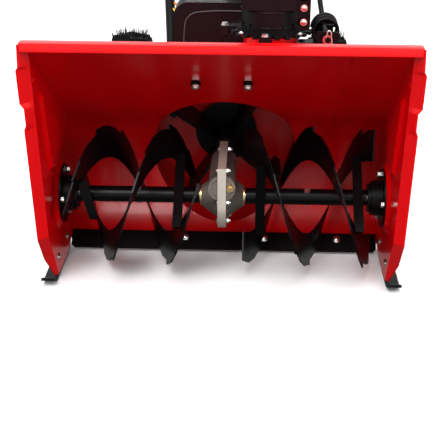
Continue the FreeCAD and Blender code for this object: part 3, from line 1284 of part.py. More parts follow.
def primer_bulb():
    stem = cylinder(12, (104, *PRIMER), (118, *PRIMER))
    return fuse(stem, Part.makeSphere(12, V(118, *PRIMER)).common(box(118, 140, -50, 200, 300, 500)))


def choke_knob():
    stem = cylinder(4, (106, *CHOKE), (118, *CHOKE))
    knob = cylinder(9, (117, *CHOKE), (121, *CHOKE))
    bar = box(121, 126, CHOKE[0] - 9, CHOKE[0] + 9, CHOKE[1] - 2.5, CHOKE[1] + 2.5)
    return fuse(stem, knob, bar)


def recoil_housing():
    """Round rear cover with air slots and the guide of the starter cord."""
    y0, y1 = ENGINE_BACK_Y, ENGINE_BACK_Y + 44
    cup = cone(84, 76, (0, y0, CRANK_Z + 4), (0, y1, CRANK_Z + 4))
    slot = box(-3, 3, y1 - 4, y1 + 2, CRANK_Z + 30, CRANK_Z + 70)
    slots = [turned(slot, (0, 0, CRANK_Z + 4), Y_AXIS, 24 * k) for k in range(15)]
    guide = block(40, 72, y0 + 8, y0 + 36, CRANK_Z + 50, CRANK_Z + 98, 4, Z_AXIS)
    hole = cylinder(3.6, (RECOIL[0], RECOIL[1], CRANK_Z + 40), (RECOIL[0], RECOIL[1], CRANK_Z + 99))
    return fuse(cup.cut(slots), guide).cut(hole)


def recoil_grip():
    """Starter handle with the short part of its cord that sits in the guide."""
    x, y = RECOIL
    z = CRANK_Z + 98.3
    cord = cylinder(2.5, (x, y, CRANK_Z + 60), (x, y, z + 4))
    bar = block(x - 34, x + 34, y - 9, y + 9, z, z + 22, 8, X_AXIS)
    return fuse(cord, bar)


# ---------------------------------------------------------------- handles
def handle_path():
    x = HANDLE_X
    return [(FRAME_WIDTH / 2 + HANDLE_TUBE_R, -40, 262), (FRAME_WIDTH / 2 + HANDLE_TUBE_R, -14, 316),
            (154, 138, 455), (x, 380, 770), (x, 480, GRIP_Z), (x, REAR_Y - 1, GRIP_Z)]


def handlebar():
    """Two bent tubes bolted to the frame's cheeks, joined by a cross tube."""
    tube = bent_tube(handle_path(), HANDLE_TUBE_R, 60, 1.6)
    pads = []
    for y, z in ((-32, 278), (-20, 304)):
        pads.append(cylinder(5, (FRAME_WIDTH / 2, y, z), (FRAME_WIDTH / 2 + 28, y, z)))
    side = fuse(tube, *pads)
    cross_y, cross_z = 380.0, 770.0
    cross = pipe(9, 7.5, (-HANDLE_X + 6, cross_y + 4, cross_z + 4), (HANDLE_X - 6, cross_y + 4, cross_z + 4))
    return [fuse(side, mirrored(side), cross)] + lever_clamps()


def belt_cover():
    """Moulded cover of the belts, round-shouldered, open at the back and below."""
    half = FRAME_WIDTH / 2
    y0, y1 = COVER_FRONT_Y, ENGINE_FRONT_Y - 6
    shell = block(-half, half, y0, y1, FRAME_TOP, COVER_TOP_Z, 34, Y_AXIS)
    shell = fuse(shell, box(-half, half, y0, y1, FRAME_TOP, FRAME_TOP + 50))
    room = block(-half + 2.5, half - 2.5, y0 + 2.5, y1 + 5, FRAME_TOP - 5, COVER_TOP_Z - 2.5, 31, Y_AXIS)
    room = room.fuse(box(-half + 2.5, half - 2.5, y0 + 2.5, y1 + 5, FRAME_TOP - 5, FRAME_TOP + 50))
    panel = block(-half + 26, half - 26, y0 - 2, y0 + 1, FRAME_TOP + 26, COVER_TOP_Z - 22, 20, Y_AXIS)
    return shell.cut(room).cut(panel)


def dash_panel():
    """Instrument panel between the handle tubes, open below, slotted for the speed lever."""
    half = HANDLE_X - HANDLE_TUBE_R
    outline = [(432, 838), (452, 826), (556, 872), (566, 904), (552, 914), (440, 872)]
    inner = [(436, 841), (453, 830), (553, 875), (562, 902), (551, 910), (442, 868)]
    shell = slab_x(outline, -half, half).cut(slab_x(inner, -half + 3, half - 3))
    slot = box(SPEED_X - 6, SPEED_X + 6, 460, 542, 868, 940)
    hatch = slab_x([(458, 800), (546, 800), (546, 874), (458, 836)], -half + 20, half - 20)
    return fuse(shell.cut([slot, hatch]), *dash_brackets(), speed_bracket())


def dash_brackets():
    """Upright with the eye of the crank rod, and the ears of the lever pivots."""
    foot, head = V(*ROD_FOOT), V(*ROD_HEAD)
    axis = (head - foot).normalize()
    eye_at = head - axis * 60
    eye = cylinder(15, tuple(eye_at - axis * 4), tuple(eye_at + axis * 4))
    post = box(eye_at.x - 12, eye_at.x + 12, eye_at.y - 3, eye_at.y + 3, 884, eye_at.z - 9)
    return [fuse(eye, post).cut(cylinder(6 + RUN_GAP, tuple(eye_at - axis * 20), tuple(eye_at + axis * 20)))]


def grip(side):
    x = side * HANDLE_X
    sleeve = pipe(17, HANDLE_TUBE_R, (x, REAR_Y - 128, GRIP_Z), (x, REAR_Y - 1, GRIP_Z))
    cap = cylinder(17, (x, REAR_Y - 1, GRIP_Z), (x, REAR_Y, GRIP_Z))
    flare = pipe(21, HANDLE_TUBE_R, (x, REAR_Y - 134, GRIP_Z), (x, REAR_Y - 128, GRIP_Z))
    return fuse(sleeve, cap, flare)


def grips():
    return [grip(-1), grip(1)]


def lever_clamps():
    """Clamps on the handle tubes that carry the two squeeze levers."""
    parts = []
    for side in (-1, 1):
        x = side * HANDLE_X
        y = LEVER_Y
        clamp = pipe(17, HANDLE_TUBE_R, (x, y - 10, GRIP_Z), (x, y + 10, GRIP_Z))
        ears = [box(x + d - 1.5, x + d + 1.5, y - 10, y + 10, GRIP_Z + 12, LEVER_Z + 9) for d in (-9, 9)]
        pin = cylinder(4, (x - 12, y, LEVER_Z), (x + 12, y, LEVER_Z))
        parts.append(fuse(clamp, *ears, pin))
    return parts


def squeeze_lever(side):
    """Lever above a grip: a flat arm on the pivot pin and a padded bar over the grip."""
    x = side * HANDLE_X
    y, z = LEVER_Y, LEVER_Z
    hub = cylinder(9, (x - 7, y, z), (x + 7, y, z))
    arm = slab_x([(y, z - 8), (y + 60, z + 22), (y + 60, z + 34), (y - 4, z + 8)], x - 4, x + 4)
    bar = slab_x([(y + 52, z + 18), (REAR_Y - 18, z + 28), (REAR_Y - 14, z + 40), (y + 52, z + 36)], x - 13, x + 13)
    bar = rounded(bar, 4, lambda e: abs(e.tangentAt(e.FirstParameter).x) < 0.5 and e.Length > 60)
    tail = slab_x([(y - 26, z + 14), (y, z - 6), (y + 4, z + 6), (y - 24, z + 22)], x - 3, x + 3)
    return fuse(hub, arm, bar, tail).cut(cylinder(4 + SHAFT_GAP, (x - 20, y, z), (x + 20, y, z)))


def auger_lever():
    return squeeze_lever(1)


def drive_lever():
    return squeeze_lever(-1)


def speed_lever():
    """Shift lever through the dash slot, pivoted on a pin below the panel."""
    y, z = SPEED_PIVOT
    hub = cylinder(10, (SPEED_X - 5, y, z), (SPEED_X + 5, y, z))
    stem = box(SPEED_X - 3, SPEED_X + 3, y - 5, y + 5, z, z + 130)
    knob = Part.makeSphere(17, V(SPEED_X, y, z + 140))
    lever = turned(fuse(stem, knob), (SPEED_X, y, z), X_AXIS, -SPEED_LEAN)
    return fuse(hub, lever).cut(cylinder(4 + SHAFT_GAP, (SPEED_X - 20, y, z), (SPEED_X + 20, y, z)))


def speed_bracket():
    """U-shaped hanger under the dash with the speed lever's pin."""
    y, z = SPEED_PIVOT
    ears = [box(SPEED_X + d - 1.5, SPEED_X + d + 1.5, y - 10, y + 10, z - 10, z + 64) for d in (-9, 9)]
    pin = cylinder(4, (SPEED_X - 11, y, z), (SPEED_X + 11, y, z))
    return fuse(ears[0], pin, ears[1])


def cables():
    """Clutch cables in their sheaths, from under each lever down its handle tube to the frame."""
    parts = []
    for side in (-1, 1):
        gap = HANDLE_TUBE_R + 3.2
        path = [(side * (x - 2), y - gap * 0.75, z + gap * 0.72) for x, y, z in handle_path()[2:5]]
        path = [(side * 138, 0, 350)] + path
        parts.append(bent_tube(path, 3, 40))
    return parts


NODES = [
    auger_housing, side_plate_left, side_plate_right, impeller_barrel, scraper_bar, skid_left, skid_right,
    housing_bolts, bearing_flange_left, bearing_flange_right, auger_left, auger_right, auger_shaft, worm_wheel,
    shear_bolts, gearbox_left, gearbox_right, gearbox_bolts, gearbox_trim, impeller_shaft, impeller,
    impeller_pulley, chute_ring, chute_keepers, chute, deflector, chute_bracket,
    chute_worm, chute_crank, tractor_frame, drive_plate, hex_shaft, axle_gear, friction_wheel, axle, rim_left,
    rim_right, tyre_left, tyre_right, engine_block, engine_shroud, fuel_tank, fuel_cap, muffler,
    carburettor_cover, primer_bulb, choke_knob, recoil_housing, recoil_grip, crank_pulley, belts, idler,
    belt_cover, handlebar, dash_panel, grips, auger_lever, drive_lever, speed_lever, cables,
]


def main():
    os.makedirs("parts", exist_ok=True)
    for make in NODES:
        made = make()
        solids = made if isinstance(made, list) else made.Solids
        solids = [s for piece in solids for s in piece.Solids]
        shape = solids[0] if len(solids) == 1 else Part.makeCompound(solids)
        shape.exportStep("parts/" + make.__name__ + ".step")


main()
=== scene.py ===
import math
import random

import bmesh
import bpy
from mathutils import Matrix, Vector


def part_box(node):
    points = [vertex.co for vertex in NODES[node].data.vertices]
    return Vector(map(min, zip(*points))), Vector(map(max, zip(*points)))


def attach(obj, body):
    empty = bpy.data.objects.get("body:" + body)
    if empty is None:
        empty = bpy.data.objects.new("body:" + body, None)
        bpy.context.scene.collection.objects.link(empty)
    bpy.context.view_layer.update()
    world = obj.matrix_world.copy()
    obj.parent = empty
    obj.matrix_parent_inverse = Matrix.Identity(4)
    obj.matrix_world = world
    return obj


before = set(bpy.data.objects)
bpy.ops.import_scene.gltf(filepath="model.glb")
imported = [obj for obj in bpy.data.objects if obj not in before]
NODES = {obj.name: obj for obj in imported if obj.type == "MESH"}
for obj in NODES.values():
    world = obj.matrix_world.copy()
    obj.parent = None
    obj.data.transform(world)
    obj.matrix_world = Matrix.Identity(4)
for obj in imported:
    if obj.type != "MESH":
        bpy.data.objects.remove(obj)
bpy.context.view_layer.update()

MM = 0.001
TAU = 2 * math.pi


# ---------------------------------------------------------------- camera
CAMERA_AT = Vector((0.0525, -2.4052, 1.0024))
CAMERA_YAW = math.radians(-1.7)
CAMERA_PITCH = math.radians(24.6)
CAMERA_ROLL = math.radians(0.3)
LENS = 81.5


def add_camera():
    data = bpy.data.cameras.new("camera")
    data.lens, data.sensor_width = LENS, 36.0
    ahead = Vector((math.sin(CAMERA_YAW) * math.cos(CAMERA_PITCH), math.cos(CAMERA_YAW) * math.cos(CAMERA_PITCH),
                    -math.sin(CAMERA_PITCH)))
    right = ahead.cross(Vector((0, 0, 1))).normalized()
    up = right.cross(ahead)
    turn = Matrix.Rotation(-CAMERA_ROLL, 3, ahead)
    right, up = turn @ right, turn @ up
    camera = bpy.data.objects.new("camera", data)
    camera.matrix_world = Matrix.Translation(CAMERA_AT) @ Matrix((right, up, -ahead)).transposed().to_4x4()
    bpy.context.scene.collection.objects.link(camera)
    bpy.context.scene.camera = camera


add_camera()


# ---------------------------------------------------------------- shader maths
class Value:
    """A socket that turns sums and products into Math nodes."""

    def __init__(self, finish, socket):
        self.finish, self.socket = finish, socket

    def math(self, operation, *others):
        return self.finish.node("Math", {"operation": operation}, self, *others)

    def __add__(self, other):
        return self.math("ADD", other)

    def __sub__(self, other):
        return self.math("SUBTRACT", other)

    def __mul__(self, other):
        return self.math("MULTIPLY", other)

    def __rsub__(self, other):
        return self.finish.node("Math", {"operation": "SUBTRACT"}, other, self)

    __radd__, __rmul__ = __add__, __mul__


class Finish:
    """A material whose nodes are made one call at a time."""

    def __init__(self, name, **constants):
        self.material = bpy.data.materials.new(name)
        self.material.use_nodes = True
        self.nodes = self.material.node_tree.nodes
        self.links = self.material.node_tree.links
        self.shader = self.nodes["Principled BSDF"]
        for key, value in constants.items():
            self.shader.inputs[key.replace("_", " ")].default_value = value
        self.place = self.node("TexCoord", {}, out="Object")

    def node(self, kind, settings, *inputs, out=0, **named):
        """Adds a node, sets its settings first and then its sockets, and gives its output."""
        node = self.nodes.new("ShaderNode" + kind)
        for key, value in settings.items():
            if key == "stops":
                self.set_stops(node.color_ramp, value)
            else:
                setattr(node, key, value)
        for key, value in list(enumerate(inputs)) + list(named.items()):
            socket = node.inputs[key.replace("_", " ") if isinstance(key, str) else key]
            if isinstance(value, Value):
                self.links.new(value.socket, socket)
            else:
                socket.default_value = value
        return Value(self, node.outputs[out])

    @staticmethod
    def set_stops(ramp, stops):
        while len(ramp.elements) < len(stops):
            ramp.elements.new(0.5)
        for element, (at, colour) in zip(ramp.elements, stops):
            element.position, element.color = at, (*colour, 1)

    def noise(self, scale, detail=4.0, rough=0.55, stretch=None):
        place = self.place
        if stretch:
            place = self.node("Mapping", {}, place, Scale=stretch)
        return self.node("TexNoise", {}, place, Scale=scale, Detail=detail, Roughness=rough)

    def ramp(self, value, low, high):
        """0 below low, 1 above high."""
        return self.node("MapRange", {}, value, low, high, 0.0, 1.0)

    def mix(self, share, first, second):
        node = self.nodes.new("ShaderNodeMix")
        node.data_type = "RGBA"
        for key, value in (("Factor_Float", share), ("A_Color", first), ("B_Color", second)):
            socket = next(s for s in node.inputs if s.identifier == key)
            if isinstance(value, Value):
                self.links.new(value.socket, socket)
            else:
                socket.default_value = value if isinstance(value, float) else (*value, 1)
        return Value(self, next(s for s in node.outputs if s.identifier == "Result_Color"))

    def bump(self, height, strength, distance=0.001):
        self.drive("Normal", self.node("Bump", {}, Strength=strength, Distance=distance, Height=height))

    def drive(self, name, value):
        self.links.new(value.socket, self.shader.inputs[name])


def gloss_paint(name, colour, shade):
    """Sprayed and baked enamel: faint orange peel, a few dull dusty patches."""
    f = Finish(name, Coat_Weight=0.12, Coat_Roughness=0.1, Specular_IOR_Level=0.28)
    cloud, peel = f.noise(3.0), f.noise(420.0, 2.0)
    dust = f.ramp(f.noise(26.0, 8.0, 0.7), 0.58, 0.8)
    f.drive("Base Color", f.mix(f.ramp(cloud, 0.3, 0.7), shade, colour))
    f.drive("Roughness", dust * 0.12 + 0.26 + f.noise(90.0) * 0.06)
    f.bump(peel, 0.05, 0.0006)
    return f.material


def powder_coat(name, colour, rough=0.42, grain=0.35):
    """Black powder coat: fine pebbled skin, paler scuffs on the high spots."""
    f = Finish(name, Specular_IOR_Level=0.14)
    pebble = f.noise(900.0, 2.0)
    scuff = f.ramp(f.noise(60.0, 9.0, 0.75), 0.62, 0.78)
    worn = tuple(min(1.0, c * 2.0 + 0.004) for c in colour)
    f.drive("Base Color", f.mix(scuff * 0.6, colour, worn))
    f.drive("Roughness", f.noise(40.0) * 0.16 + rough - 0.08 + scuff * 0.1)
    f.bump(pebble, grain, 0.0004)
    return f.material


def moulded_plastic(name, colour, rough=0.45):
    """Moulded cover: spark-eroded grain with soft sheen differences."""
    f = Finish(name, Specular_IOR_Level=0.16)
    grain = f.node("TexVoronoi", {"feature": "DISTANCE_TO_EDGE"}, f.place, Scale=1400.0)
    cloud = f.noise(12.0)
    paler = tuple(c * 1.5 + 0.004 for c in colour)
    f.drive("Base Color", f.mix(cloud * 0.5, colour, paler))
    f.drive("Roughness", cloud * 0.14 + rough - 0.07)
    f.bump(grain, 0.12, 0.0003)
    return f.material


def bare_metal(name, colour, rough=0.3, pits=0.12):
    """Plated or machined metal with brushed streaks and small dull spots."""
    f = Finish(name, Metallic=1.0)
    streak = f.noise(60.0, 6.0, 0.6, stretch=(1.0, 12.0, 1.0))
    spot = f.ramp(f.noise(140.0, 6.0), 0.6, 0.75)
    dull = tuple(c * 0.62 for c in colour)
    f.drive("Base Color", f.mix(spot * 0.7, colour, dull))
    f.drive("Roughness", streak * 0.2 + rough - 0.08 + spot * 0.12)
    f.bump(streak, pits, 0.0003)
    return f.material


JOINT_HALF = 8.6 * MM
MILLED_BLEND = 0.2 * MM


def cast_metal(name, colour, machined, half_joint):
    """Sand-cast aluminium: coarse grain, dark in its hollows, and milled bright along the joint at x = 0."""
    f = Finish(name, Metallic=0.75)
    grain, cloud = f.noise(320.0, 5.0, 0.7), f.noise(30.0)
    dark = tuple(c * 0.45 for c in colour)
    across = f.node("SeparateXYZ", {}, f.place).math("ABSOLUTE")
    milled = f.ramp(across, half_joint + MILLED_BLEND, half_joint - MILLED_BLEND)
    rough_face = f.mix(f.ramp(grain * 0.6 + cloud * 0.4, 0.35, 0.62), dark, colour)
    f.drive("Base Color", f.mix(milled, rough_face, machined))
    f.drive("Roughness", grain * 0.25 + 0.38)
    f.bump(grain, 0.5, 0.0006)
    return f.material


def rubber(name, colour, rough=0.72):
    f = Finish(name, Specular_IOR_Level=0.14)
    grain, bloom = f.noise(500.0, 3.0), f.ramp(f.noise(18.0, 7.0), 0.5, 0.8)
    grey = tuple(c * 2.0 + 0.006 for c in colour)
    f.drive("Base Color", f.mix(bloom * 0.55, colour, grey))
    f.drive("Roughness", bloom * 0.12 + rough)
    f.bump(grain, 0.3, 0.0004)
    return f.material


RED = gloss_paint("signal_red_enamel", (0.74, 0.0, 0.002), (0.66, 0.0, 0.002))
POWDER = powder_coat("black_powder_coat", (0.002, 0.0015, 0.002))
BLADE = powder_coat("black_blade_paint", (0.002, 0.0015, 0.002), 0.34, 0.25)
PLASTIC = moulded_plastic("black_moulding", (0.002, 0.0015, 0.002))
PALE_PLASTIC = moulded_plastic("grey_rim_moulding", (0.05, 0.05, 0.052))
SHROUD = moulded_plastic("pale_engine_cover", (0.52, 0.52, 0.53), 0.4)
ZINC = bare_metal("zinc_plate", (0.72, 0.71, 0.70), 0.27)
STEEL = bare_metal("turned_steel", (0.55, 0.55, 0.55), 0.26)
CAST = cast_metal("cast_aluminium", (0.36, 0.31, 0.27), (0.86, 0.76, 0.66), JOINT_HALF)
BRONZE = bare_metal("gear_bronze", (0.74, 0.52, 0.24), 0.3)
RUBBER = rubber("black_rubber", (0.004, 0.004, 0.004))
TYRE = rubber("tyre_rubber", (0.005, 0.005, 0.005), 0.78)
SILVER_PAINT = gloss_paint("silver_wheel_paint", (0.5, 0.5, 0.51), (0.43, 0.43, 0.44))
BRIGHT = bare_metal("bright_guard", (0.72, 0.71, 0.69), 0.36)
PINK_WASHER = rubber("red_fibre_washer", (0.45, 0.06, 0.06), 0.5)
ORANGE_WIRE = rubber("orange_wire_jacket", (0.75, 0.16, 0.01), 0.4)
YELLOW_WIRE = rubber("yellow_wire_jacket", (0.75, 0.5, 0.02), 0.4)
BLUE_WIRE = rubber("blue_wire_jacket", (0.01, 0.06, 0.5), 0.4)

FINISHES = {
    RED: ["auger_housing", "side_plate_left", "side_plate_right", "impeller_barrel"],
    POWDER: ["scraper_bar", "skid_left", "skid_right", "bearing_flange_left", "bearing_flange_right", "impeller",
             "tractor_frame", "handlebar", "auger_lever", "drive_lever", "chute_bracket", "engine_block",
             "chute_crank"],
    BLADE: ["auger_left", "auger_right", "chute_worm"],
    PLASTIC: ["chute_ring", "chute", "deflector", "belt_cover", "dash_panel", "carburettor_cover", "fuel_cap",
              "choke_knob", "recoil_grip", "speed_lever", "chute_keepers", "recoil_housing", "fuel_tank"],
    SHROUD: ["engine_shroud"],
    ZINC: ["housing_bolts", "shear_bolts", "gearbox_bolts", "idler", "hex_shaft", "axle", "axle_gear"],
    STEEL: ["impeller_shaft", "auger_shaft", "crank_pulley", "impeller_pulley", "drive_plate"],
    CAST: ["gearbox_left", "gearbox_right"],
    BRONZE: ["worm_wheel", "gearbox_trim"],
    RUBBER: ["belts", "grips", "primer_bulb", "cables", "friction_wheel"],
    TYRE: ["tyre_left", "tyre_right"],
    SILVER_PAINT: ["rim_left", "rim_right"],
    BRIGHT: ["muffler"],
}

for material, names in FINISHES.items():
    for name in names:
        for slot in NODES[name].material_slots:
            slot.material = material


# ---------------------------------------------------------------- shapes for the small pieces
def piece(name, mesh, material, body, crease=35):
    """Makes a closed bmesh an object that rides on a body."""
    bmesh.ops.remove_doubles(mesh, verts=mesh.verts, dist=0.01 * MM)
    bmesh.ops.recalc_face_normals(mesh, faces=mesh.faces)
    data = bpy.data.meshes.new(name)
    mesh.to_mesh(data)
    mesh.free()
    data.shade_smooth()
    data.set_sharp_from_angle(angle=math.radians(crease))
    data.materials.append(material)
    made = bpy.data.objects.new(name, data)
    bpy.context.scene.collection.objects.link(made)
    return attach(made, body)


def facing(at, along):
    """Puts the origin at a point and turns Z along a direction."""
    return Matrix.Translation(at) @ Vector(along).to_track_quat("Z", "Y").to_matrix().to_4x4()


def rod(mesh, start, end, radius, tip=None, sides=16):
    start, end = Vector(start), Vector(end)
    bmesh.ops.create_cone(mesh, cap_ends=True, segments=sides, radius1=radius, radius2=radius if tip is None else tip,
                          depth=(end - start).length, matrix=facing((start + end) / 2, end - start))


def dome(mesh, at, along, radius, height):
    flat = Matrix.Diagonal((radius, radius, height, 1))
    bmesh.ops.create_uvsphere(mesh, u_segments=20, v_segments=12, radius=1.0, matrix=facing(at, along) @ flat)


def slab(mesh, low, high, turn=None):
    """A thin bar between two corners, turned about the origin if a matrix is given."""
    low, high = Vector(low), Vector(high)
    shape = Matrix.Translation((low + high) / 2) @ Matrix.Diagonal((*(high - low), 1))
    bmesh.ops.create_cube(mesh, size=1.0, matrix=(turn or Matrix.Identity(4)) @ shape)


def hoop(mesh, centre, along, radius, tube, sides=8, steps=48):
    """A ring of round wire, spun about its centre."""
    where = facing(centre, along)
    section = where @ Matrix.Translation((radius, 0, 0)) @ Matrix.Rotation(math.pi / 2, 4, "X")
    made = bmesh.ops.create_circle(mesh, segments=sides, radius=tube, matrix=section)
    edges = list({edge for vert in made["verts"] for edge in vert.link_edges})
    bmesh.ops.spin(mesh, geom=made["verts"] + edges, cent=centre, axis=Vector(along).normalized(), angle=TAU,
                   steps=steps, use_merge=True, use_duplicate=False)


def wire(points, radius, closed=False):
    """A round wire through points, as a mesh."""
    curve = bpy.data.curves.new("wire", "CURVE")
    curve.dimensions, curve.bevel_depth, curve.bevel_resolution, curve.resolution_u = "3D", radius, 3, 10
    curve.use_fill_caps = True
    spline = curve.splines.new("BEZIER")
    spline.bezier_points.add(len(points) - 1)
    spline.use_cyclic_u = closed
    for knot, at in zip(spline.bezier_points, points):
        knot.co, knot.handle_left_type, knot.handle_right_type = at, "AUTO", "AUTO"
    holder = bpy.data.objects.new("wire", curve)
    mesh = bmesh.new()
    mesh.from_mesh(bpy.data.meshes.new_from_object(holder))
    bpy.data.objects.remove(holder)
    return mesh


# ---------------------------------------------------------------- wheels
WHISKERS = 900
WHISKER_FOOT = 23 * MM          # how far below the tread's radius a hair is rooted
WHISKER_LENGTHS = (26, 36)      # in millimetres
WHISKER_SPREAD = 0.68           # share of the tread's half width that has hairs
WHISKER_SPLAY = 0.35            # outward lean of the outermost hairs
WHISKER_LEAN = 0.1              # random lean of every hair
FLOOR_GAP = 3 * MM


def tyre_whiskers(side):
    """Thin moulding hairs that stand up from the tread, rooted in the carcass between the lugs."""
    low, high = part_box("tyre_" + side)
    centre, radius, half = (low + high) / 2, (high.z - low.z) / 2, (high.x - low.x) / 2
    mesh = bmesh.new()
    for _ in range(WHISKERS):
        angle, across = random.uniform(0, TAU), random.uniform(-WHISKER_SPREAD, WHISKER_SPREAD) * half
        out = Vector((0, math.cos(angle), math.sin(angle)))
        foot = centre + Vector((across, 0, 0)) + out * (radius - WHISKER_FOOT)
        splay = across / half * WHISKER_SPLAY + random.uniform(-WHISKER_LEAN, WHISKER_LEAN)
        lean = Vector((splay, random.uniform(-WHISKER_LEAN, WHISKER_LEAN), 0))
        tip = foot + (out + lean) * random.uniform(*WHISKER_LENGTHS) * MM
        if tip.z > FLOOR_GAP:
            rod(mesh, foot, tip, 1.1 * MM, 0.5 * MM, sides=3)
    piece("tyre_whiskers_" + side, mesh, TYRE, "wheels")


def tyre_rings(side, sign):
    """Raised bands on the outer sidewall."""
    low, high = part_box("tyre_" + side)
    outer = high.x if sign > 0 else low.x
    centre = (low + high) / 2
    mesh = bmesh.new()
    for radius, inset in ((152 * MM, 0.8 * MM), (130 * MM, 1.7 * MM)):
        hoop(mesh, (outer - sign * inset, centre.y, centre.z), (1, 0, 0), radius, 1.6 * MM, steps=96)
    piece("tyre_sidewall_rings_" + side, mesh, TYRE, "wheels")


# ---------------------------------------------------------------- handles
GRIP_RADIUS = 17 * MM
GRIP_RIBS = 14
GRIP_RIB_PITCH = 7.5 * MM
GRIP_FLARE = 21 * MM            # the flared end's radius, so a grip's axis is this far inside the box


def grip_ribs():
    low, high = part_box("grips")
    height, mesh = (low.z + high.z) / 2, bmesh.new()
    for side in (low.x + GRIP_FLARE, high.x - GRIP_FLARE):
        for rib in range(GRIP_RIBS):
            along = low.y + 22 * MM + rib * GRIP_RIB_PITCH
            hoop(mesh, (side, along, height), (0, 1, 0), GRIP_RADIUS, 0.8 * MM, sides=6, steps=24)
    piece("grip_ribs", mesh, RUBBER, "machine")


def lever_pivots():
    mesh = bmesh.new()
    for lever, sign in (("auger_lever", 1), ("drive_lever", -1)):
        low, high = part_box(lever)
        outer = high.x if sign > 0 else low.x
        dome(mesh, (outer, low.y + 26 * MM, low.z + 9 * MM), (sign, 0, 0), 6 * MM, 3.5 * MM)
    piece("lever_pivot_caps", mesh, ZINC, "machine")


# ---------------------------------------------------------------- belt cover
def belt_cover_trim():
    low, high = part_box("belt_cover")
    wide, foot, top = 99 * MM, low.z + 26 * MM, high.z - 22 * MM
    big, small, front = 34 * MM, 10 * MM, low.y
    loop = []
    for sx, sz, corner, start in ((1, 1, big, 0), (-1, 1, big, 90), (-1, -1, small, 180), (1, -1, small, 270)):
        cx, cz = sx * (wide - corner), (top if sz > 0 else foot) - sz * corner
        for step in range(4):
            angle = math.radians(start + 30 * step)
            loop.append((cx + corner * math.cos(angle), front, cz + corner * math.sin(angle)))
    piece("belt_cover_panel_rim", wire(loop, 1.5 * MM, closed=True), PALE_PLASTIC, "machine")
    mesh = bmesh.new()
    for x in (-108 * MM, 108 * MM):
        z = low.z + 12 * MM
        rod(mesh, (x, front + 2 * MM, z), (x, front - 1.2 * MM, z), 7 * MM)
        dome(mesh, (x, front - 1.2 * MM, z), (0, -1, 0), 5 * MM, 2.6 * MM)
    piece("belt_cover_screws", mesh, ZINC, "machine")


# ---------------------------------------------------------------- chute
NECK_X, NECK_Y = (sum(p[axis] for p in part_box("chute_ring")) / 2 for axis in (0, 1))
RING_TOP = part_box("chute_ring")[1].z
KEEPER_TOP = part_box("chute_keepers")[1].z
KEEPER_ANGLES, KEEPER_BOLT_RADIUS = (262, 180, 60), 101.5 * MM
RING_BOLT_ANGLES, RING_BOLT_RADIUS = (222, 315, 351), 86.5 * MM
PLATE_BOTTOM, PLATE_TOP = 498 * MM, 562 * MM
PLATE_BOLTS = (503 * MM, 533 * MM)


def round_the_neck(radius, degrees, z):
    angle = math.radians(degrees)
    return Vector((NECK_X + radius * math.cos(angle), NECK_Y + radius * math.sin(angle), z))


def collar_ribs():
    """Low gussets and two turned beads round the chute's collar, above the keepers."""
    mesh, ribs = bmesh.new(), 16
    middle = Matrix.Translation((NECK_X, NECK_Y, 0))
    for rib in range(ribs):
        slab(mesh, (63.5 * MM, -0.9 * MM, KEEPER_TOP + 1.5 * MM), (69 * MM, 0.9 * MM, KEEPER_TOP + 9 * MM),
             middle @ Matrix.Rotation(TAU * rib / ribs, 4, "Z"))
    for z in (KEEPER_TOP + 3 * MM, KEEPER_TOP + 36 * MM):
        hoop(mesh, (NECK_X, NECK_Y, z), (0, 0, 1), 65.4 * MM, 1.6 * MM, steps=72)
    piece("chute_collar_ribs", mesh, PLASTIC, "chute_body")


def ring_hardware():
    mesh = bmesh.new()
    for degrees in KEEPER_ANGLES:
        seat = round_the_neck(KEEPER_BOLT_RADIUS, degrees, KEEPER_TOP - 5 * MM)
        rod(mesh, seat, seat + Vector((0, 0, 1 * MM)), 8.5 * MM, sides=28)
        rod(mesh, seat, seat + Vector((0, 0, 5.6 * MM)), 7.4 * MM, 7.0 * MM, sides=6)
    for degrees in RING_BOLT_ANGLES:
        seat = round_the_neck(RING_BOLT_RADIUS, degrees, RING_TOP)
        rod(mesh, seat - Vector((0, 0, 0.5 * MM)), seat + Vector((0, 0, 1.2 * MM)), 6.2 * MM, sides=28)
        dome(mesh, seat + Vector((0, 0, 1.2 * MM)), (0, 0, 1), 5 * MM, 3.6 * MM)
    piece("chute_ring_bolts", mesh, ZINC, "machine")


def guide_plate():
    """The upright plate in front of the worm, with its two round-headed bolts."""
    centre, half, front = NECK_X + 68 * MM, 14 * MM, NECK_Y - 68 * MM
    mesh = bmesh.new()
    slab(mesh, (centre - half, front, PLATE_BOTTOM), (centre + half, front + 3 * MM, PLATE_TOP))
    for z in (PLATE_BOTTOM, PLATE_TOP):
        rod(mesh, (centre, front, z), (centre, front + 3 * MM, z), half, sides=32)
    piece("chute_guide_plate", mesh, POWDER, "machine")
    mesh = bmesh.new()
    for z in PLATE_BOLTS:
        rod(mesh, (centre, front + 1 * MM, z), (centre, front - 1.5 * MM, z), 7.5 * MM, sides=28)
        dome(mesh, (centre, front - 1.5 * MM, z), (0, -1, 0), 6 * MM, 4 * MM)
    piece("chute_guide_bolts", mesh, ZINC, "machine")


WORM_X, WORM_Z = 217 * MM, 471.5 * MM


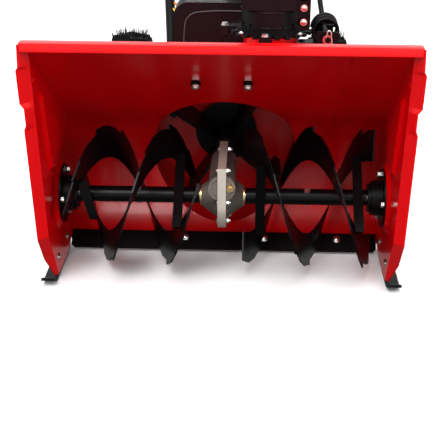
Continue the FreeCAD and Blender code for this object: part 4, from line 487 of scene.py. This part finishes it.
def worm_hardware():
    """The fibre washer and the hairpin clip at the worm shaft's front end."""
    x, z, end = WORM_X, WORM_Z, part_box("chute_worm")[0].y
    mesh = bmesh.new()
    rod(mesh, (x, end + 4.5 * MM, z), (x, end + 6.5 * MM, z), 10.5 * MM, sides=36)
    piece("worm_fibre_washer", mesh, PINK_WASHER, "worm_body")
    clip = [(x - 2 * MM, end + 2.5 * MM, z - 14 * MM), (x - 2 * MM, end + 2.5 * MM, z + 12 * MM),
            (x + 1 * MM, end + 2.5 * MM, z + 20 * MM), (x + 6 * MM, end + 2.5 * MM, z + 17 * MM),
            (x + 7 * MM, end + 2.5 * MM, z + 8 * MM), (x + 9 * MM, end + 2.5 * MM, z - 8 * MM)]
    piece("worm_hairpin_clip", wire(clip, 1.3 * MM), ZINC, "worm_body")


# ---------------------------------------------------------------- engine
def engine_wires():
    """Coloured leads that loop out of the crankcase side and back behind the belt cover."""
    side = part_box("engine_block")[0].x
    routes = {
        "orange": (ORANGE_WIRE, [(3, 40, 440), (-12, 14, 470), (-12, -20, 478), (10, -44, 462), (40, -47, 430)]),
        "yellow": (YELLOW_WIRE, [(3, 48, 430), (-15, 20, 456), (-15, -16, 462), (6, -44, 450), (34, -47, 420)]),
        "blue": (BLUE_WIRE, [(8, 60, 448), (16, 30, 462), (22, -12, 476), (34, -44, 470), (56, -48, 436)]),
    }
    for colour, (material, route) in routes.items():
        points = [(side + x * MM, y * MM, z * MM) for x, y, z in route]
        piece(colour + "_wire", wire(points, 2 * MM), material, "machine")


def crankcase_fins():
    """Cooling fins on the crankcase's left side."""
    low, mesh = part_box("engine_block")[0], bmesh.new()
    for fin in range(6):
        z = 346 * MM + fin * 7 * MM
        slab(mesh, (low.x - 3 * MM, -30 * MM, z), (low.x + 8 * MM, 116 * MM, z + 2 * MM))
    piece("crankcase_fins", mesh, POWDER, "machine")


def muffler_louvres():
    """Round bars across the front of the guard."""
    low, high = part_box("muffler")
    mesh = bmesh.new()
    for bar in range(7):
        z = low.z + 12 * MM + bar * 8.5 * MM
        rod(mesh, (low.x + 12 * MM, low.y, z), (high.x - 12 * MM, low.y, z), 1.8 * MM, sides=10)
    piece("muffler_louvres", mesh, BRIGHT, "machine")


def shroud_screws():
    low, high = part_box("engine_shroud")
    mesh = bmesh.new()
    for x in (low.x + 14 * MM, high.x - 14 * MM):
        for y in (low.y + 14 * MM, high.y - 14 * MM):
            rod(mesh, (x, y, high.z - 6 * MM), (x, y, high.z + 0.8 * MM), 6.5 * MM, sides=24)
            dome(mesh, (x, y, high.z + 0.8 * MM), (0, 0, 1), 4.6 * MM, 2.4 * MM)
    piece("shroud_screws", mesh, ZINC, "machine")


GRILLE_RADII, GRILLE_BARS, GRILLE_DROP = (34 * MM, 68 * MM), 18, 5 * MM


def recoil_grille():
    """Two rings and the bars between them on the recoil cover's back."""
    low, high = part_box("recoil_housing")
    centre, back = (low + high) / 2, high.y
    mesh, axis_z = bmesh.new(), centre.z - GRILLE_DROP
    for radius in GRILLE_RADII:
        hoop(mesh, (centre.x, back - 0.5 * MM, axis_z), (0, 1, 0), radius, 1.8 * MM)
    for bar in range(GRILLE_BARS):
        turn = Matrix.Translation((centre.x, back, axis_z)) @ Matrix.Rotation(TAU * bar / GRILLE_BARS, 4, "Y")
        slab(mesh, (GRILLE_RADII[0], -1 * MM, -1 * MM), (GRILLE_RADII[1], 1.2 * MM, 1 * MM), turn)
    piece("recoil_grille", mesh, PALE_PLASTIC, "machine")


CAP_RIBS = 24


def fuel_cap_ribs():
    low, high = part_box("fuel_cap")
    centre, radius, mesh = (low + high) / 2, (high.x - low.x) / 2, bmesh.new()
    middle = Matrix.Translation((centre.x, centre.y, 0))
    for rib in range(CAP_RIBS):
        slab(mesh, (radius - 1 * MM, -1.1 * MM, low.z + 3 * MM), (radius + 1 * MM, 1.1 * MM, high.z - 4 * MM),
             middle @ Matrix.Rotation(TAU * rib / CAP_RIBS, 4, "Z"))
    piece("fuel_cap_ribs", mesh, PLASTIC, "fuel_cap_body")


def lip_hem():
    """The folded lip along the front of the roof: a square-nosed hem with its edges broken."""
    low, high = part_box("auger_housing")
    section = ((low.y, high.z + 0.3 * MM), (low.y - 2 * MM, high.z - 15.5 * MM), (low.y + 18 * MM, high.z - 21 * MM),
               (low.y + 24 * MM, high.z + 0.3 * MM))
    mesh, half = bmesh.new(), high.x - 1.5 * MM
    face = mesh.faces.new([mesh.verts.new((-half, y, z)) for y, z in section])
    swept = bmesh.ops.extrude_face_region(mesh, geom=[face])["geom"]
    bmesh.ops.translate(mesh, verts=[v for v in swept if isinstance(v, bmesh.types.BMVert)], vec=(2 * half, 0, 0))
    bmesh.ops.bevel(mesh, geom=list(mesh.edges), offset=0.9 * MM, segments=2, profile=0.5, affect="EDGES",
                    material=-1)
    piece("housing_lip_hem", mesh, RED, "machine")


ROOF_NUTS_X = (-50 * MM, 50 * MM)
ROOF_NUT_Y, ROOF_NUT_Z = -567.3 * MM, 446.8 * MM


def roof_nut_sleeves():
    """Black sleeves round the two nuts that come through the roof."""
    mesh, inward = bmesh.new(), Vector((0, -1, -1)).normalized()
    for x in ROOF_NUTS_X:
        middle = Vector((x, ROOF_NUT_Y, ROOF_NUT_Z))
        rod(mesh, middle - inward * 3 * MM, middle + inward * 6.5 * MM, 9.6 * MM, sides=32)
    piece("roof_nut_sleeves", mesh, POWDER, "machine")


random.seed(7)
lip_hem()
roof_nut_sleeves()
for side, sign in (("left", -1), ("right", 1)):
    tyre_whiskers(side)
    tyre_rings(side, sign)
grip_ribs()
lever_pivots()
belt_cover_trim()
collar_ribs()
ring_hardware()
guide_plate()
worm_hardware()
engine_wires()
crankcase_fins()
muffler_louvres()
shroud_screws()
recoil_grille()
fuel_cap_ribs()


# ---------------------------------------------------------------- studio
def add_floor():
    mesh = bmesh.new()
    bmesh.ops.create_grid(mesh, x_segments=1, y_segments=1, size=12.0)
    data = bpy.data.meshes.new("studio_floor")
    mesh.to_mesh(data)
    mesh.free()
    floor = bpy.data.objects.new("studio_floor", data)
    bpy.context.scene.collection.objects.link(floor)
    f = Finish("pale_floor", Roughness=0.9)
    f.drive("Base Color", f.mix(f.noise(2.0), (0.93, 0.93, 0.93), (0.95, 0.95, 0.95)))
    data.materials.append(f.material)
    floor.visible_diffuse, floor.visible_glossy = False, False


def add_light(name, place, aim, size, power):
    data = bpy.data.lights.new(name, "AREA")
    data.size, data.energy = size, power
    light = bpy.data.objects.new(name, data)
    light.location = place
    light.rotation_euler = (Vector(aim) - Vector(place)).to_track_quat("-Z", "Y").to_euler()
    bpy.context.scene.collection.objects.link(light)


DARK_TO_WHITE = (-0.5, -0.1)    # the height of a direction, where -1 is straight down
DARK_STRENGTH, WHITE_STRENGTH = 0.12, 1.0


def add_world():
    """White overhead and dark below the horizon, so undersides stay deep."""
    world = bpy.data.worlds.new("studio")
    world.use_nodes = True
    nodes, links = world.node_tree.nodes, world.node_tree.links
    place = nodes.new("ShaderNodeTexCoord")
    split = nodes.new("ShaderNodeSeparateXYZ")
    height = nodes.new("ShaderNodeMapRange")
    for socket, value in zip(height.inputs[1:5], (*DARK_TO_WHITE, DARK_STRENGTH, WHITE_STRENGTH)):
        socket.default_value = value
    links.new(place.outputs["Generated"], split.inputs[0])
    links.new(split.outputs["Z"], height.inputs[0])
    links.new(height.outputs[0], nodes["Background"].inputs["Strength"])
    nodes["Background"].inputs["Color"].default_value = (1, 1, 1, 1)
    bpy.context.scene.world = world


bpy.context.scene.view_settings.view_transform = "Standard"
add_floor()
add_world()
add_light("key", (-0.9, -3.2, 3.3), (0, -0.4, 0.3), 1.6, 105)
add_light("fill", (2.4, -2.6, 2.2), (0, -0.4, 0.3), 1.4, 35)
add_light("top", (0.0, -1.0, 3.4), (0, -0.3, 0.3), 1.8, 110)
